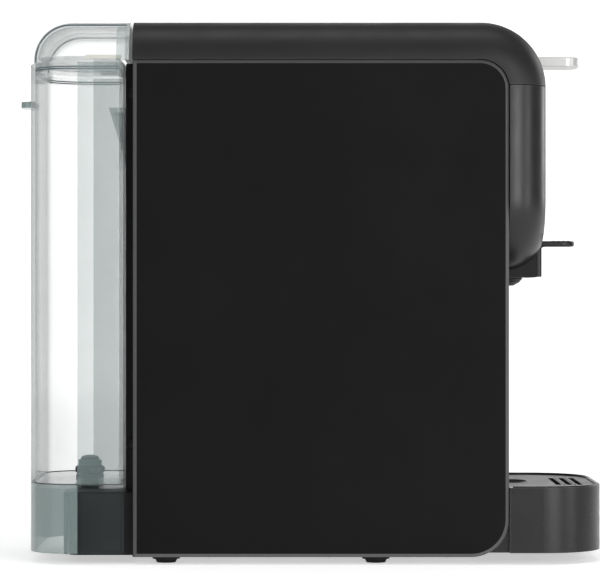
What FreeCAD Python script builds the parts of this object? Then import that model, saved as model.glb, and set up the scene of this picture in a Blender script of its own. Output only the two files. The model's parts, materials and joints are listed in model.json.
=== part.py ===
"""Pod coffee machine, in millimetres.

+X points to the front, +Z up. The origin is on the floor, under the middle of the machine.
"""
import math
import os
import re

import FreeCAD
import Part
import Sketcher
from FreeCAD import Placement, Rotation, Vector

os.makedirs("parts", exist_ok=True)
doc = FreeCAD.newDocument("PodCoffeeMachine")

# ---------------------------------------------------------------- driving sizes

# A value that starts with "=" follows other sizes: what seats on, fits in or lines up with another piece
# takes its place from that piece and a named clearance or step.
SIZES = [
    # casing
    ("case_back", 88.35, "rear face of the case, behind the origin"),
    ("case_front", 100.3, "front edge of the side panels"),
    ("case_width", 112, "across the side panels"),
    ("machine_top", 273, "highest surface"),
    ("flange_height", 1.85, "height of a foot's flange"),
    ("base_level", "=foot_pad_height + flange_height", "underside of the base"),
    ("crown_height", 20.2, "from the side panels' top edge to the highest surface"),
    ("panel_top", "=machine_top - crown_height", "top edge of the side panels"),
    ("panel_wall", 3, "side panel thickness"),
    ("panel_step", 0.5, "rear wall stands behind the panels by this"),
    ("panel_front_round", 14.5, "upper front corner of a side panel"),
    ("panel_foot_round", 19, "lower front corner of a side panel"),
    ("panel_bevel", 1.8, "bevel round a side panel"),
    ("seam_gap", 0.4, "visible joint between two covers"),
    ("shell_wall", 2.4, "moulded cover thickness"),
    ("base_floor", 1.6, "base floor thickness"),
    ("base_rim_top", 20, "top of the rim round the base"),
    ("tongue_length", 20, "how far the base reaches under the drip tray"),
    ("base_tongue", "=fascia_front + tongue_length", "front end of the base"),
    ("vent_first", 20, "lowest vent, above the lower screws"),
    ("vent_height", 3, "height of a vent"),
    ("vent_pitch", 8, "from vent to vent"),
    # head
    ("nose_length", 19.8, "how far the head stands out of the case"),
    ("nose_reach", "=case_front + nose_length", "front of the head"),
    ("nose_bottom", 147, "lower end of the head cover"),
    ("crown_round", 33, "arc from the top to the front"),
    ("edge_round", 19, "rounding along the sides of the head"),
    ("chin_round", 38, "lower corners of the head cover"),
    ("brow_drop", 32.5, "from the top to the joint over the head cover"),
    ("brow_level", "=machine_top - brow_drop", "joint between top shell and head cover"),
    ("fascia_front", 62, "front of the recessed fascia"),
    # brewing group
    ("chamber_gap", 0.7, "between the brew chamber and the head cover"),
    ("bore_radius", 15.4, "bore of the brew chamber"),
    ("chamber_wall", 2.1, "brew chamber wall"),
    ("pod_axis", "=nose_reach - shell_wall - chamber_gap - chamber_wall - bore_radius", "brewing axis"),
    ("outlet_lead", 1.5, "how far the outlet is ahead of the brewing axis"),
    ("nozzle_axis", "=pod_axis + outlet_lead", "outlet axis"),
    ("housing_drop", 3, "how far the brew housing hangs below the head"),
    ("housing_floor", "=nose_bottom - housing_drop", "underside of the brew housing"),
    ("housing_height", 19.7, "height of the brew housing"),
    ("housing_top", "=housing_floor + housing_height", "top of the brew housing"),
    ("housing_half", 26, "half width of the brew housing"),
    ("housing_setback", 3.6, "from the front of the head to the front of the brew housing"),
    ("housing_front", "=nose_reach - housing_setback", "front of the brew housing"),
    ("housing_wall", 3.2, "floor and cheeks of the brew housing"),
    ("slide_gap", 0.3, "clearance round a sliding piece"),
    ("face_setback", 0.9, "from the front of the head to the drawer's face"),
    ("drawer_front", "=nose_reach - face_setback", "face of the pod drawer"),
    ("drawer_plate", 2.4, "thickness of the drawer's face"),
    ("drawer_stop", 0.1, "between the drawer's rear end and the housing"),
    (
        "drawer_tail", "=fascia_front + seam_gap + slide_gap + housing_wall + drawer_stop",
        "rear end of the pod drawer",
    ),
    ("drawer_drop", 0.5, "from the top of the housing to the top of the drawer"),
    ("drawer_top", "=housing_top - drawer_drop", "top of the pod drawer"),
    ("pod_well", 13.4, "radius of the pod well"),
    ("pod_well_floor", 2.2, "thickness under the pod"),
    ("tab_length", 18.3, "length of the drawer's finger tab"),
    ("tab_reach", "=drawer_front + tab_length", "tip of the drawer's finger tab"),
    ("tab_drop", 0.4, "from the top of the drawer to the top of the finger tab"),
    ("tab_top", "=drawer_top - tab_drop", "top of the finger tab"),
    ("tab_thick", 2.8, "finger tab thickness"),
    ("tab_half", 13, "half width of the finger tab"),
    ("flange_reach", 6, "how far the chamber's flange stands behind its bore"),
    ("flange_thick", 3, "thickness of the chamber's flange"),
    ("chamber_top", "=link_top - link_length - rod_overrun", "top of the brew chamber"),
    ("chamber_cap_height", 4, "height of the chamber's cap"),
    ("fit_gap", 0.05, "radial running clearance"),
    ("piston_height", 12, "height of the piston head"),
    ("piston_land", 4, "from the piston's face to its seal"),
    ("rod_radius", 5, "piston rod"),
    ("rod_overrun", 14, "how far the piston rod stands out of the chamber"),
    ("link_length", 20, "length of the lifting link"),
    ("link_gap", 6.8, "between the lifting link and the lever's tip"),
    ("link_top", "=tip_top - tip_thick - link_gap", "upper end of the lifting link"),
    ("eye_drop", 7, "from the link's upper end to the middle of its eye"),
    ("nozzle_radius", 10, "top of the outlet nozzle"),
    ("nozzle_drop", 4.2, "height of the outlet nozzle"),
    ("nozzle_hole", 2, "bore of the outlet nozzle"),
    # lever
    ("hinge_place", 5, "lever hinge, ahead of the origin"),
    ("hinge_drop", 14, "from the top to the lever's hinge"),
    ("hinge_level", "=machine_top - hinge_drop", "lever hinge height"),
    ("drum_radius", 13.6, "lever drum"),
    ("pin_radius", 2.5, "lever pin"),
    ("lever_half", 13, "half width of the lever"),
    ("lever_thick", 7, "thickness of the lever arm"),
    ("tip_drop", 15.4, "from the machine's top to the top of the lever's tip"),
    ("tip_top", "=machine_top - tip_drop", "top of the lever's tip"),
    ("tip_thick", 4.8, "thickness of the lever's tip"),
    ("tip_overhang", 20.2, "how far the lever's tip stands out of the head"),
    ("tip_reach", "=nose_reach + tip_overhang", "front of the lever's tip"),
    ("tip_hold", 14.1, "how far the lever's tip goes back into the arm"),
    ("tip_root", "=nose_reach - tip_hold", "rear end of the lever's tip"),
    ("bracket_wall", 3.6, "hinge bracket cheek"),
    ("beam_thick", 3, "thickness of the hinge bracket's beam"),
    ("beam_drop", 12, "from the top of the frame to the hinge bracket's beam"),
    ("beam_reach", 9, "how far the hinge bracket's beam goes behind the hinge"),
    ("inlay_depth", 1, "thickness of the lever's inlay"),
    ("inlay_half", 8.5, "half width of the lever's inlay"),
    ("inlay_length", 48, "length of the lever's inlay"),
    # buttons
    ("button_place", 38, "cup buttons, behind the origin"),
    ("button_side", 25, "cup buttons, from the middle"),
    ("power_place", 66, "power button, behind the origin"),
    ("button_radius", 6.5, "button cap"),
    ("button_depth", 9, "height of a button"),
    ("button_stem", 2.6, "stem radius of a button"),
    ("button_dish", 0.8, "depth of the dish in a button"),
    ("button_edge", 0.5, "bevel round a button"),
    ("collar_width", 1.4, "collar that holds a button under the shell"),
    ("collar_height", 2, "height of a button's collar"),
    ("switch_room", 2.2, "between a button's stem and its switch"),
    ("switch_height", 3.2, "switch under a button"),
    ("switch_half", 3, "half width of a switch"),
    ("board_thick", 1.6, "circuit board thickness"),
    ("board_margin", 12, "button board, beyond the middle of the outer buttons"),
    (
        "board_level", "=machine_top - button_depth - switch_room - switch_height - board_thick",
        "underside of the button board",
    ),
    # water tank
    ("tank_gap", 4.5, "between the case and the tank"),
    ("tank_front", "=case_back + tank_gap", "front wall of the tank, behind the origin"),
    ("rail_gap", 0.5, "between the tank and the rails behind the case"),
    ("rail_inner", 28, "inner side of a rail, from the middle"),
    ("rail_width", 13, "width of a rail"),
    ("rail_drop", 2, "from the tank's rim to the top of the rails"),
    ("tank_length", 48.2, "length of the tank"),
    ("tank_rear", "=tank_front + tank_length", "rear wall of the tank, behind the origin"),
    ("tank_drop", 1.2, "from the panels' top edge to the tank's rim"),
    ("tank_top", "=panel_top - tank_drop", "upper rim of the tank"),
    ("skirt_gap", 1.75, "tank's skirt above the underside of the base"),
    ("tank_foot", "=base_level + skirt_gap", "lower edge of the tank's skirt"),
    ("tank_wall", 2.2, "tank wall"),
    ("tank_corner", 23, "rear corners of the tank, seen from above"),
    ("tank_front_corner", 3, "front corners of the tank"),
    ("seat_clearance", 2, "between the seat and the tank's floor"),
    ("tank_floor", "=seat_top + seat_clearance", "underside of the tank's floor"),
    ("grip_drop", 23.1, "from the tank's rim to the finger pocket"),
    ("grip_top", "=tank_top - grip_drop", "ceiling of the finger pocket"),
    ("grip_height", 26, "height of the finger pocket"),
    ("grip_depth", 7, "depth of the finger pocket"),
    ("grip_half", 22, "half width of the finger pocket"),
    ("lug_length", 7.6, "how far the rear lug stands out"),
    ("lug_reach", "=tank_rear + lug_length", "tip of the rear lug"),
    ("lug_drop", 20, "from the tank's rim to the rear lug"),
    ("lug_level", "=tank_top - lug_drop", "underside of the rear lug"),
    ("lug_thick", 3.2, "rear lug thickness"),
    ("lug_half", 11, "half width of the rear lug"),
    ("lid_gap", 1.5, "between the case and the lid"),
    ("lid_front", "=case_back + lid_gap", "front wall of the lid, behind the origin"),
    ("lid_setback", 1.55, "from the tank's rear wall to the lid's"),
    ("lid_rear", "=tank_rear - lid_setback", "rear end of the lid, behind the origin"),
    ("lid_lift_gap", 0.9, "between the tank's rim and the lid's edge"),
    ("lid_foot", "=tank_top + lid_lift_gap", "lower edge of the lid"),
    ("lid_wall", 2.2, "lid thickness"),
    ("lid_round", 19, "rounding of the lid"),
    ("plug_depth", 4, "how far the lid's rim goes into the tank"),
    ("seat_length", 35.65, "length of the tank seat"),
    ("seat_rear", "=case_back + seat_length", "rear end of the tank seat"),
    ("seat_margin", 8, "from the tank's side to the seat's"),
    ("seat_half", "=case_width/2 - seat_margin", "half width of the tank seat"),
    ("seat_top", 36, "top of the tank seat"),
    ("seat_step", 0.45, "tank seat above the underside of the base"),
    ("seat_foot", "=base_level + seat_step", "underside of the tank seat"),
    ("seat_corner", 10, "rear corners of the tank seat"),
    ("socket_depth", 14, "depth of the inlet socket"),
    ("seal_thick", 2.5, "height of a rubber ring"),
    # tank valve
    ("valve_setback", 25.15, "from the case to the valve's axis"),
    ("valve_place", "=case_back + valve_setback", "valve axis, behind the origin"),
    ("stub_radius", 4.6, "valve stub that enters the seat"),
    ("stub_length", 9, "how far the valve stub goes into the seat"),
    ("stub_foot", "=seat_top - stub_length", "lower end of the valve stub"),
    ("valve_radius", 7.25, "body of the valve"),
    ("valve_height", 8.5, "height of the valve body above the underside of the floor"),
    ("valve_body_top", "=tank_floor + valve_height", "top of the valve body"),
    ("valve_ring_radius", 6, "ring on the valve"),
    ("valve_ring_height", 3, "height of the valve's ring"),
    ("valve_cap_radius", 5, "cap of the valve"),
    ("valve_cap_height", 2.4, "height of the valve's cap"),
    ("valve_bore", 3.2, "bore of the valve"),
    ("poppet_stem", 1.2, "stem radius of the poppet"),
    ("poppet_drop", 6, "from the top of the valve body to the poppet's head"),
    ("poppet_head", 2, "height of the poppet's head"),
    ("spring_wire", 0.35, "wire radius of the valve spring"),
    ("spring_pitch", 2, "from turn to turn of the valve spring"),
    ("spring_gap", 0.7, "between the spring and what it presses on"),
    ("spring_side", 0.9, "from the valve's bore to the middle of the spring's wire"),
    # drip tray
    ("tray_gap", 2.4, "between the fascia and the drip tray"),
    ("tray_rear", "=fascia_front + tray_gap", "rear end of the drip tray"),
    ("tray_front", 148.65, "front of the drip tray"),
    ("tray_inset", 0.5, "drip tray, inside the side panels' faces"),
    ("tray_half", "=case_width/2 - tray_inset", "half width of the tray ahead of the panels"),
    ("tray_lift", 0.45, "between the base's floor and the tray"),
    ("tray_foot", "=base_level + base_floor + tray_lift", "underside of the tray"),
    ("tray_top", 38.6, "rim of the tray"),
    ("tray_wall", 2, "tray wall"),
    ("tray_corner", 31, "front corners of the tray"),
    ("tray_rim_step", 2.6, "height of the step that carries the grille"),
    ("grille_thick", 2, "cup grille thickness"),
    ("slot_width", 2.9, "slot in the cup grille"),
    ("slot_pitch", 5.35, "from slot to slot"),
    ("slot_half", 27, "half length of a slot"),
    ("slot_setback", 20.65, "from the tray's front to the first front slot"),
    ("slot_first", "=tray_front - slot_setback", "first of the front slots"),
    ("rear_slot_lead", 7.6, "from the tray's rear end to the first rear slot"),
    ("rear_slot_first", "=tray_rear + rear_slot_lead", "first of the rear slots"),
    ("drip_hole", 12, "radius of the hole under the outlet"),
    ("float_radius", 9, "level float"),
    ("float_height", 20, "height of the level float"),
    ("float_lift", 0.2, "between the tray's floor and the level float"),
    ("float_top", "=tray_foot + tray_wall + float_lift + float_height", "top of the level float"),
    ("float_edge", 1.5, "bevel round the level float"),
    # feet and fasteners
    ("foot_rear", 72, "rear feet, behind the origin"),
    ("foot_front", 34, "front feet, ahead of the origin"),
    ("foot_margin", 16, "from a side panel to the middle of a foot"),
    ("foot_side", "=case_width/2 - foot_margin", "feet, from the middle"),
    ("foot_flange", 7, "foot flange radius"),
    ("foot_pad", 5.75, "foot pad radius"),
    ("foot_taper", 1, "how much a foot pad narrows"),
    ("foot_pad_height", 1.9, "foot pad height"),
    ("screw_radius", 1.6, "screw shank"),
    ("screw_head", 3.2, "screw head radius"),
    ("screw_head_height", 1.8, "screw head height"),
    ("screw_length", 9, "screw shank length"),
    ("screw_margin", 10, "from a side panel to a screw"),
    ("screw_side", "=case_width/2 - screw_margin", "screws, from the middle"),
    ("screw_low", 60, "lower screws"),
    ("screw_drop", 16.8, "from the panels' top edge to the upper screws"),
    ("screw_high", "=panel_top - screw_drop", "upper screws"),
    ("gland_place", 60, "cord gland, behind the origin"),
    ("gland_side", 30, "cord gland, from the middle"),
    ("gland_radius", 5.5, "cord gland"),
    ("gland_hole", 3.6, "hole for the cord"),
    ("gland_height", 7, "cord gland height"),
    # inner pieces
    ("shelf_level", 100, "underside of the frame's shelf"),
    ("frame_wall", 2.4, "frame thickness"),
    ("frame_drop", 21, "from the lever's hinge to the top of the frame"),
    ("frame_top", "=hinge_level - frame_drop", "top of the frame"),
    ("frame_margin", 7, "from a side panel's face to the frame"),
    ("frame_half", "=case_width/2 - frame_margin", "half width of the frame"),
    ("frame_rear", 84, "rear end of the frame's shelf"),
    ("pump_radius", 19, "pump body"),
    ("pump_rear", 66, "rear end of the pump"),
    ("pump_length", 74, "pump length"),
    ("pump_level", 52, "pump axis height"),
    ("mount_ring", 26, "outer radius of a pump mount"),
    ("mount_width", 9, "width of a pump mount"),
    ("mount_inset", 19.8, "from an end of the pump to the middle of a mount"),
    ("boiler_rear", 20, "rear face of the heating block, behind the origin"),
    ("boiler_length", 58, "heating block length"),
    ("boiler_half", 24, "half width of the heating block"),
    ("boiler_height", 74, "heating block height"),
    ("meter_radius", 11, "flow meter radius"),
    ("meter_height", 16, "flow meter height"),
    ("meter_neck", 3, "height of the flow meter's neck"),
    ("meter_place", 58, "flow meter, behind the origin"),
    ("meter_side", 34, "flow meter, from the middle"),
    ("control_height", 92, "control board height"),
    ("control_length", 70, "control board length"),
    ("control_margin", 4, "from the frame's edges to the control board"),
    ("relay_length", 15, "length of a relay"),
    ("relay_depth", 12, "how far a relay stands off its board"),
    ("relay_height", 20, "height of a relay"),
    ("relay_level", 20, "relays above the shelf"),
    ("relay_first", 8, "first relay, from the board's rear edge"),
    ("relay_pitch", 22, "from relay to relay"),
    ("hose_radius", 3, "water hose"),
    ("hose_bend", 8, "bend radius of a water hose"),
    ("hose_clearance", 1, "round a hose where it passes through a wall"),
    ("inlet_hose_level", 13, "height of the inlet hose"),
    ("riser_place", 22, "rising hose, ahead of the origin"),
    ("riser_side", 36, "rising hose, from the middle"),
    ("inlet_rise", 37.6, "heating block's inlet above its underside"),
    ("boiler_inlet", "=shelf_level + frame_wall + inlet_rise", "height of the heating block's inlet"),
    ("brew_hose_place", 30, "outlet of the heating block, ahead of the origin"),
    ("brew_hose_drop", 12, "from the top of the brew chamber to the brewing hose"),
    ("brew_hose_level", "=chamber_top - brew_hose_drop", "height of the brewing hose"),
]

sheet = doc.addObject("Spreadsheet::Sheet", "Sizes")
for row, (alias, value, meaning) in enumerate(SIZES, start=1):
    sheet.setAlias(f"B{row}", alias)
for row, (alias, value, meaning) in enumerate(SIZES, start=1):
    sheet.set(f"A{row}", meaning)
    sheet.set(f"B{row}", str(value))
doc.recompute()

# ---------------------------------------------------------------- helpers

NEAR = 0.01       # two places closer than this are the same
OVER = 5          # how far a cutting tool stands out of what it cuts
PLANE = {"x": "YZ_Plane", "y": "XZ_Plane", "z": "XY_Plane"}
TURN = {
    "x": Rotation(Vector(0, 1, 0), 90),
    "y": Rotation(Vector(1, 0, 0), -90),
    "z": Rotation(),
}
NODES = {}


def tie(text):
    """The expression that reads each named size from the sheet."""
    return re.sub(r"[a-z][a-z_]+", lambda word: "Sizes." + word.group(), str(text))


def val(text):
    """The number that an expression gives now."""
    return float(sheet.evalExpression(tie(text)))


def bind(item, prop, text):
    item.setExpression(prop, tie(text))


def node(label, item):
    """Names a finished sub-part."""
    item.Label = label
    NODES[label] = item
    return item


def box(name, x, y, z):
    """A block between the two ends given on each axis."""
    item = doc.addObject("Part::Box", name)
    for side, place, ends in (("Length", "x", x), ("Width", "y", y), ("Height", "z", z)):
        bind(item, side, f"({ends[1]}) - ({ends[0]})")
        bind(item, f"Placement.Base.{place}", ends[0])
    return item


def rod(name, axis, middle, ends, radius, top_radius=None):
    """A round bar along an axis, or a cone when the top radius is given."""
    item = doc.addObject("Part::Cone" if top_radius else "Part::Cylinder", name)
    item.Placement = Placement(Vector(), TURN[axis])
    if top_radius:
        bind(item, "Radius1", radius)
        bind(item, "Radius2", top_radius)
    else:
        bind(item, "Radius", radius)
    bind(item, "Height", f"({ends[1]}) - ({ends[0]})")
    places = iter(middle)
    for place in "xyz":
        bind(item, f"Placement.Base.{place}", ends[0] if place == axis else next(places))
    return item


def fuse(name, *items):
    item = doc.addObject("Part::MultiFuse", name)
    item.Shapes = list(items)
    return item


def cut(name, base, *tools):
    item = doc.addObject("Part::Cut", name)
    item.Base = base
    item.Tool = tools[0] if len(tools) == 1 else fuse(name + "_tools", *tools)
    return item


def common(name, first, second):
    item = doc.addObject("Part::Common", name)
    item.Base = first
    item.Tool = second
    return item


def group(name, items):
    """Separate solids that share one node."""
    item = doc.addObject("Part::Compound", name)
    item.Links = items
    return item


def body(name):
    return doc.addObject("PartDesign::Body", name)


def outline(owner, axis, corners, level):
    """A closed sketch across an axis, with each corner held by two sizes."""
    sketch = owner.newObject("Sketcher::SketchObject", owner.Name + "_outline")
    plane = [item for item in owner.Origin.OriginFeatures if item.Role == PLANE[axis]][0]
    sketch.AttachmentSupport = [(plane, "")]
    sketch.MapMode = "FlatFace"
    bind(sketch, "AttachmentOffset.Base.z", level)
    points = [Vector(val(across), val(up), 0) for across, up in corners]
    for start, end in zip(points, points[1:] + points[:1]):
        sketch.addGeometry(Part.LineSegment(start, end))
    for side, (across, up) in enumerate(corners):
        previous = (side - 1) % len(corners)
        sketch.addConstraint(Sketcher.Constraint("Coincident", previous, 2, side, 1))
        for kind, size in (("DistanceX", across), ("DistanceY", up)):
            number = sketch.addConstraint(Sketcher.Constraint(kind, -1, 1, side, 1, val(size)))
            sketch.setExpression(f"Constraints[{number}]", tie(size))
    return sketch


def pad(owner, axis, corners, low, high):
    """Material inside an outline, from low to high along the axis."""
    sketch = outline(owner, axis, corners, f"-({high})" if axis == "y" else low)
    feature = owner.newObject("PartDesign::Pad", owner.Name + "_pad")
    feature.Profile = sketch
    bind(feature, "Length", f"({high}) - ({low})")
    return feature


def pocket(owner, axis, corners, low, high):
    """Takes away what is inside an outline, from low to high along the axis."""
    doc.recompute()
    before = owner.Tip.Shape.Volume
    sketch = outline(owner, axis, corners, f"-({low})" if axis == "y" else high)
    feature = owner.newObject("PartDesign::Pocket", owner.Name + "_pocket")
    feature.Profile = sketch
    bind(feature, "Length", f"({high}) - ({low})")
    doc.recompute()
    if feature.Shape.Volume > before - NEAR:
        raise RuntimeError(f"{owner.Name}: the pocket cuts nothing")
    return feature


def turned(owner, corners, middle):
    """A round piece: corners are (radius, height), turned about a vertical axis."""
    sketch = outline(owner, "y", corners, "0")
    feature = owner.newObject("PartDesign::Revolution", owner.Name + "_turned")
    feature.Profile = sketch
    feature.ReferenceAxis = (sketch, ["V_Axis"])
    feature.Angle = 360
    bind(owner, "Placement.Base.x", middle[0])
    bind(owner, "Placement.Base.y", middle[1])
    return feature


def lies(edge, **places):
    """True when the whole edge lies at the given coordinates."""
    span = edge.BoundBox
    ends = {"x": (span.XMin, span.XMax), "y": (span.YMin, span.YMax), "z": (span.ZMin, span.ZMax)}
    return all(max(abs(end - val(text)) for end in ends[axis]) < NEAR for axis, text in places.items())


def dress(owner, kind, size, choose):
    """Rounds (Fillet) or bevels (Chamfer) the chosen edges."""
    doc.recompute()
    base = owner.Tip
    names = [f"Edge{i}" for i, edge in enumerate(base.Shape.Edges, start=1) if choose(edge)]
    feature = owner.newObject("PartDesign::" + kind, f"{owner.Name}_{kind}")
    feature.Base = (base, names)
    bind(feature, "Radius" if kind == "Fillet" else "Size", size)
    return feature


def corner(x, *sides):
    """Chooses the upright edges at one x and at the given sides."""
    return lambda edge: any(lies(edge, x=x, y=side) for side in sides)


def rectangle(x, y):
    return [(x[0], y[0]), (x[1], y[0]), (x[1], y[1]), (x[0], y[1])]


def mirrored(half):
    return (f"-({half})", half)

# ---------------------------------------------------------------- outer form of the head and top

HALF = "case_width/2"


def head_form(name, corners, inset):
    """The head and top as a solid: a side outline with a round crown, chin and long edges."""
    form = body(name)
    half, top = f"{HALF} - {inset}", f"machine_top - {inset}"
    nose, low = f"nose_reach - {inset}", f"nose_bottom + {inset}"
    pad(form, "y", corners, *mirrored(half))
    if inset == "0":
        dress(form, "Fillet", "panel_front_round + seam_gap", lambda edge: lies(
            edge, x="case_front + seam_gap", z="panel_top + seam_gap"))
    dress(form, "Fillet", f"crown_round - {inset}", lambda edge: lies(edge, x=nose, z=top))

    def chin(edge):
        return lies(edge, z=low) and (lies(edge, y=half) or lies(edge, y=f"-({half})"))

    dress(form, "Fillet", f"chin_round - {inset}", chin)

    def long_edge(edge):
        if lies(edge, x=nose):
            return not lies(edge, z="machine_top - crown_round")
        if not (lies(edge, y=half) or lies(edge, y=f"-({half})")):
            return False
        span = edge.BoundBox
        return abs(span.ZMax - val(top)) < NEAR and span.XMax > span.XMin + 1

    dress(form, "Fillet", f"edge_round - {inset}", long_edge)
    return form


def block_corners(inset):
    back, nose = f"{inset} - case_back", f"nose_reach - {inset}"
    low, top = f"nose_bottom + {inset}", f"machine_top - {inset}"
    return [(back, low), (nose, low), (nose, top), (back, top)]


outer_corners = [
    ("-case_back", "panel_top + seam_gap"),
    ("case_front + seam_gap", "panel_top + seam_gap"),
    ("case_front + seam_gap", "nose_bottom"),
    ("nose_reach", "nose_bottom"),
    ("nose_reach", "machine_top"),
    ("-case_back", "machine_top"),
]
outer_form = head_form("outer_form", outer_corners, "0")
inner_form = head_form("inner_form", block_corners("shell_wall"), "shell_wall")
lever_form = head_form("lever_form", block_corners("lever_thick"), "lever_thick")
head_skin = cut("head_skin", outer_form, inner_form)

ALL_X = (f"-case_back - {OVER}", f"nose_reach + {OVER}")
ALL_Y = (f"-({HALF}) - {OVER}", f"{HALF} + {OVER}")
SLOT_Y = mirrored("lever_half + seam_gap")
BUTTONS = {
    "left_cup_button": ("-button_place", "button_side"),
    "right_cup_button": ("-button_place", "-button_side"),
    "power_button": ("-power_place", "0"),
}


def top_shell():
    above = box("above_brow", ALL_X, ALL_Y, ("brow_level", f"machine_top + {OVER}"))
    slot = box(
        "lever_slot",
        ("hinge_place - drum_radius*0.9", f"nose_reach + {OVER}"),
        SLOT_Y,
        ("tip_top - tip_thick - seam_gap", f"machine_top + {OVER}"),
    )
    holes = [
        rod(f"{name}_hole", "z", place, ("panel_top", f"machine_top + {OVER}"), "button_radius + slide_gap")
        for name, place in BUTTONS.items()
    ]
    node("top_shell", cut("top_shell", common("top_skin", head_skin, above), slot, *holes))


def head_cover():
    below = box("below_brow", ALL_X, ALL_Y, (f"nose_bottom - {OVER}", "brow_level - seam_gap"))
    notch = box(
        "housing_notch", ALL_X, mirrored("housing_half + slide_gap"),
        (f"nose_bottom - {OVER}", "housing_top + slide_gap"),
    )
    node("head_cover", cut("head_cover", common("head_front", head_skin, below), notch))


# ---------------------------------------------------------------- case

INSIDE = f"{HALF} - panel_wall - seam_gap"


def side_panel(name, side):
    """A flat plate with two round front corners and a bevel round its outer face."""
    panel = body(name)
    outer, inner = f"{side}*({HALF})", f"{side}*({HALF} - panel_wall)"
    low, high = (inner, outer) if side > 0 else (outer, inner)
    back = "panel_step - case_back"
    corners = rectangle((back, "case_front"), ("base_level", "panel_top"))
    pad(panel, "y", corners, low, high)
    rounds = (("panel_top", "panel_front_round"), ("base_level", "panel_foot_round"))
    for level, size in rounds:
        dress(panel, "Fillet", size, lambda edge: lies(edge, x="case_front", z=level))
    dress(panel, "Chamfer", "panel_bevel", lambda edge: lies(edge, y=outer))
    node(name, panel)


def hose_way(name):
    """The passage of the inlet hose through the back of the case."""
    ends = ("-case_back - shell_wall*2", "-case_back + shell_wall*3")
    return rod(f"{name}_hose_way", "x", ("0", "inlet_hose_level"), ends, HOSE_WAY)


def base_pan():
    floor_z = ("base_level", "base_level + base_floor")
    floor = box("base_plate", ("-case_back", "base_tongue"), mirrored(INSIDE), floor_z)
    rim_x = ("shell_wall + seam_gap - case_back", "fascia_front - shell_wall - seam_gap")
    rim_z = (floor_z[1], "base_rim_top")
    rim = box("base_rim", rim_x, mirrored(INSIDE), rim_z)
    room = box(
        "base_room",
        (f"{rim_x[0]} + shell_wall", f"{rim_x[1]} - shell_wall"),
        mirrored(f"{INSIDE} - shell_wall"),
        (rim_z[0], f"{rim_z[1]} + {OVER}"),
    )
    hole = rod(
        "gland_seat", "z", ("-gland_place", "gland_side"),
        (f"base_level - {OVER}", f"{floor_z[1]} + {OVER}"), "gland_radius",
    )
    solid = fuse("base_solid", floor, cut("base_wall", rim, room))
    node("base_pan", cut("base_pan", solid, hole, hose_way("base")))


def rear_wall():
    depth = ("-case_back", "shell_wall - case_back")
    plate = box("rear_plate", depth, mirrored(INSIDE), ("base_level + base_floor", "panel_top - seam_gap"))
    holes = [
        rod(f"screw_hole_{i}", "x", place, (f"-case_back - {OVER}", "0"), "screw_radius + slide_gap/2")
        for i, place in enumerate(SCREWS, start=1)
    ]
    vents = []
    for i in range(5):
        low = f"screw_low + vent_first + vent_pitch*{i}"
        height = (low, f"{low} + vent_height")
        vents.append(box(f"vent_{i}", (f"-case_back - {OVER}", "0"), mirrored("button_side"), height))
    node("rear_wall", cut("rear_wall", plate, *holes, *vents, hose_way("wall")))


SCREWS = [(side, level) for side in ("screw_side", "-screw_side") for level in ("screw_low", "screw_high")]


def case_screws():
    screws = []
    for i, place in enumerate(SCREWS, start=1):
        shank = rod(f"shank_{i}", "x", place, ("-case_back", "screw_length - case_back"), "screw_radius")
        head = rod(f"head_{i}", "x", place, ("-case_back - screw_head_height", "-case_back"), "screw_head")
        slot = box(
            f"drive_{i}",
            (f"-case_back - screw_head_height - {OVER}", "-case_back - screw_head_height/2"),
            (f"{place[0]} - screw_head/5", f"{place[0]} + screw_head/5"),
            (f"{place[1]} - screw_head*0.7", f"{place[1]} + screw_head*0.7"),
        )
        screws.append(cut(f"screw_{i}", fuse(f"screw_solid_{i}", shank, head), slot))
    node("case_screws", group("case_screws", screws))


def front_fascia():
    """The recessed front and the ceiling over the cup, in one bent moulding."""
    fascia = body("front_fascia")
    back, front = "fascia_front - shell_wall", "fascia_front"
    foot, under, over = "base_level + base_floor + seam_gap", "nose_bottom - shell_wall", "nose_bottom"
    lip = "nose_bottom + chin_round"
    corners = [
        (back, foot), (front, foot), (front, under), ("case_front", under), ("case_front", lip),
        ("case_front - shell_wall", lip), ("case_front - shell_wall", over), (back, over),
    ]
    pad(fascia, "y", corners, *mirrored(INSIDE))
    notch_x = ("fascia_front + seam_gap", f"case_front + {OVER}")
    notch = rectangle(notch_x, mirrored("housing_half + slide_gap"))
    pocket(fascia, "z", notch, f"{under} - {OVER}", f"{lip} + {OVER}")
    node("front_fascia", fascia)


def inner_frame():
    frame = body("inner_frame")
    front = "fascia_front - shell_wall - seam_gap"
    back = f"{front} - frame_wall"
    foot = "base_rim_top + seam_gap"
    shelf = ("shelf_level", "shelf_level + frame_wall")
    corners = [
        (back, foot), (front, foot), (front, "frame_top"), (back, "frame_top"),
        (back, shelf[1]), ("-frame_rear", shelf[1]), ("-frame_rear", shelf[0]), (back, shelf[0]),
    ]
    pad(frame, "y", corners, *mirrored("frame_half"))
    riser_z = ("shelf_level - frame_wall", "shelf_level + frame_wall*2")
    riser = rod("riser_hole", "z", ("riser_place", "-riser_side"), riser_z, HOSE_WAY)
    passage = rod("passage_hole", "x", ("0", "brew_hose_level"), (back, f"{front} + frame_wall"), HOSE_WAY)
    node("inner_frame", cut("inner_frame", frame, riser, passage))


HOSE_WAY = "hose_radius + hose_clearance"


def feet():
    places = [(x, y) for x in ("-foot_rear", "foot_front") for y in ("-foot_side", "foot_side")]
    flanges, pads = [], []
    for i, place in enumerate(places, start=1):
        flanges.append(rod(f"flange_{i}", "z", place, ("foot_pad_height", "base_level"), "foot_flange"))
        height = ("0", "foot_pad_height")
        pads.append(rod(f"pad_{i}", "z", place, height, "foot_pad - foot_taper", "foot_pad"))
    node("foot_flanges", group("foot_flanges", flanges))
    node("foot_pads", group("foot_pads", pads))


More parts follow.
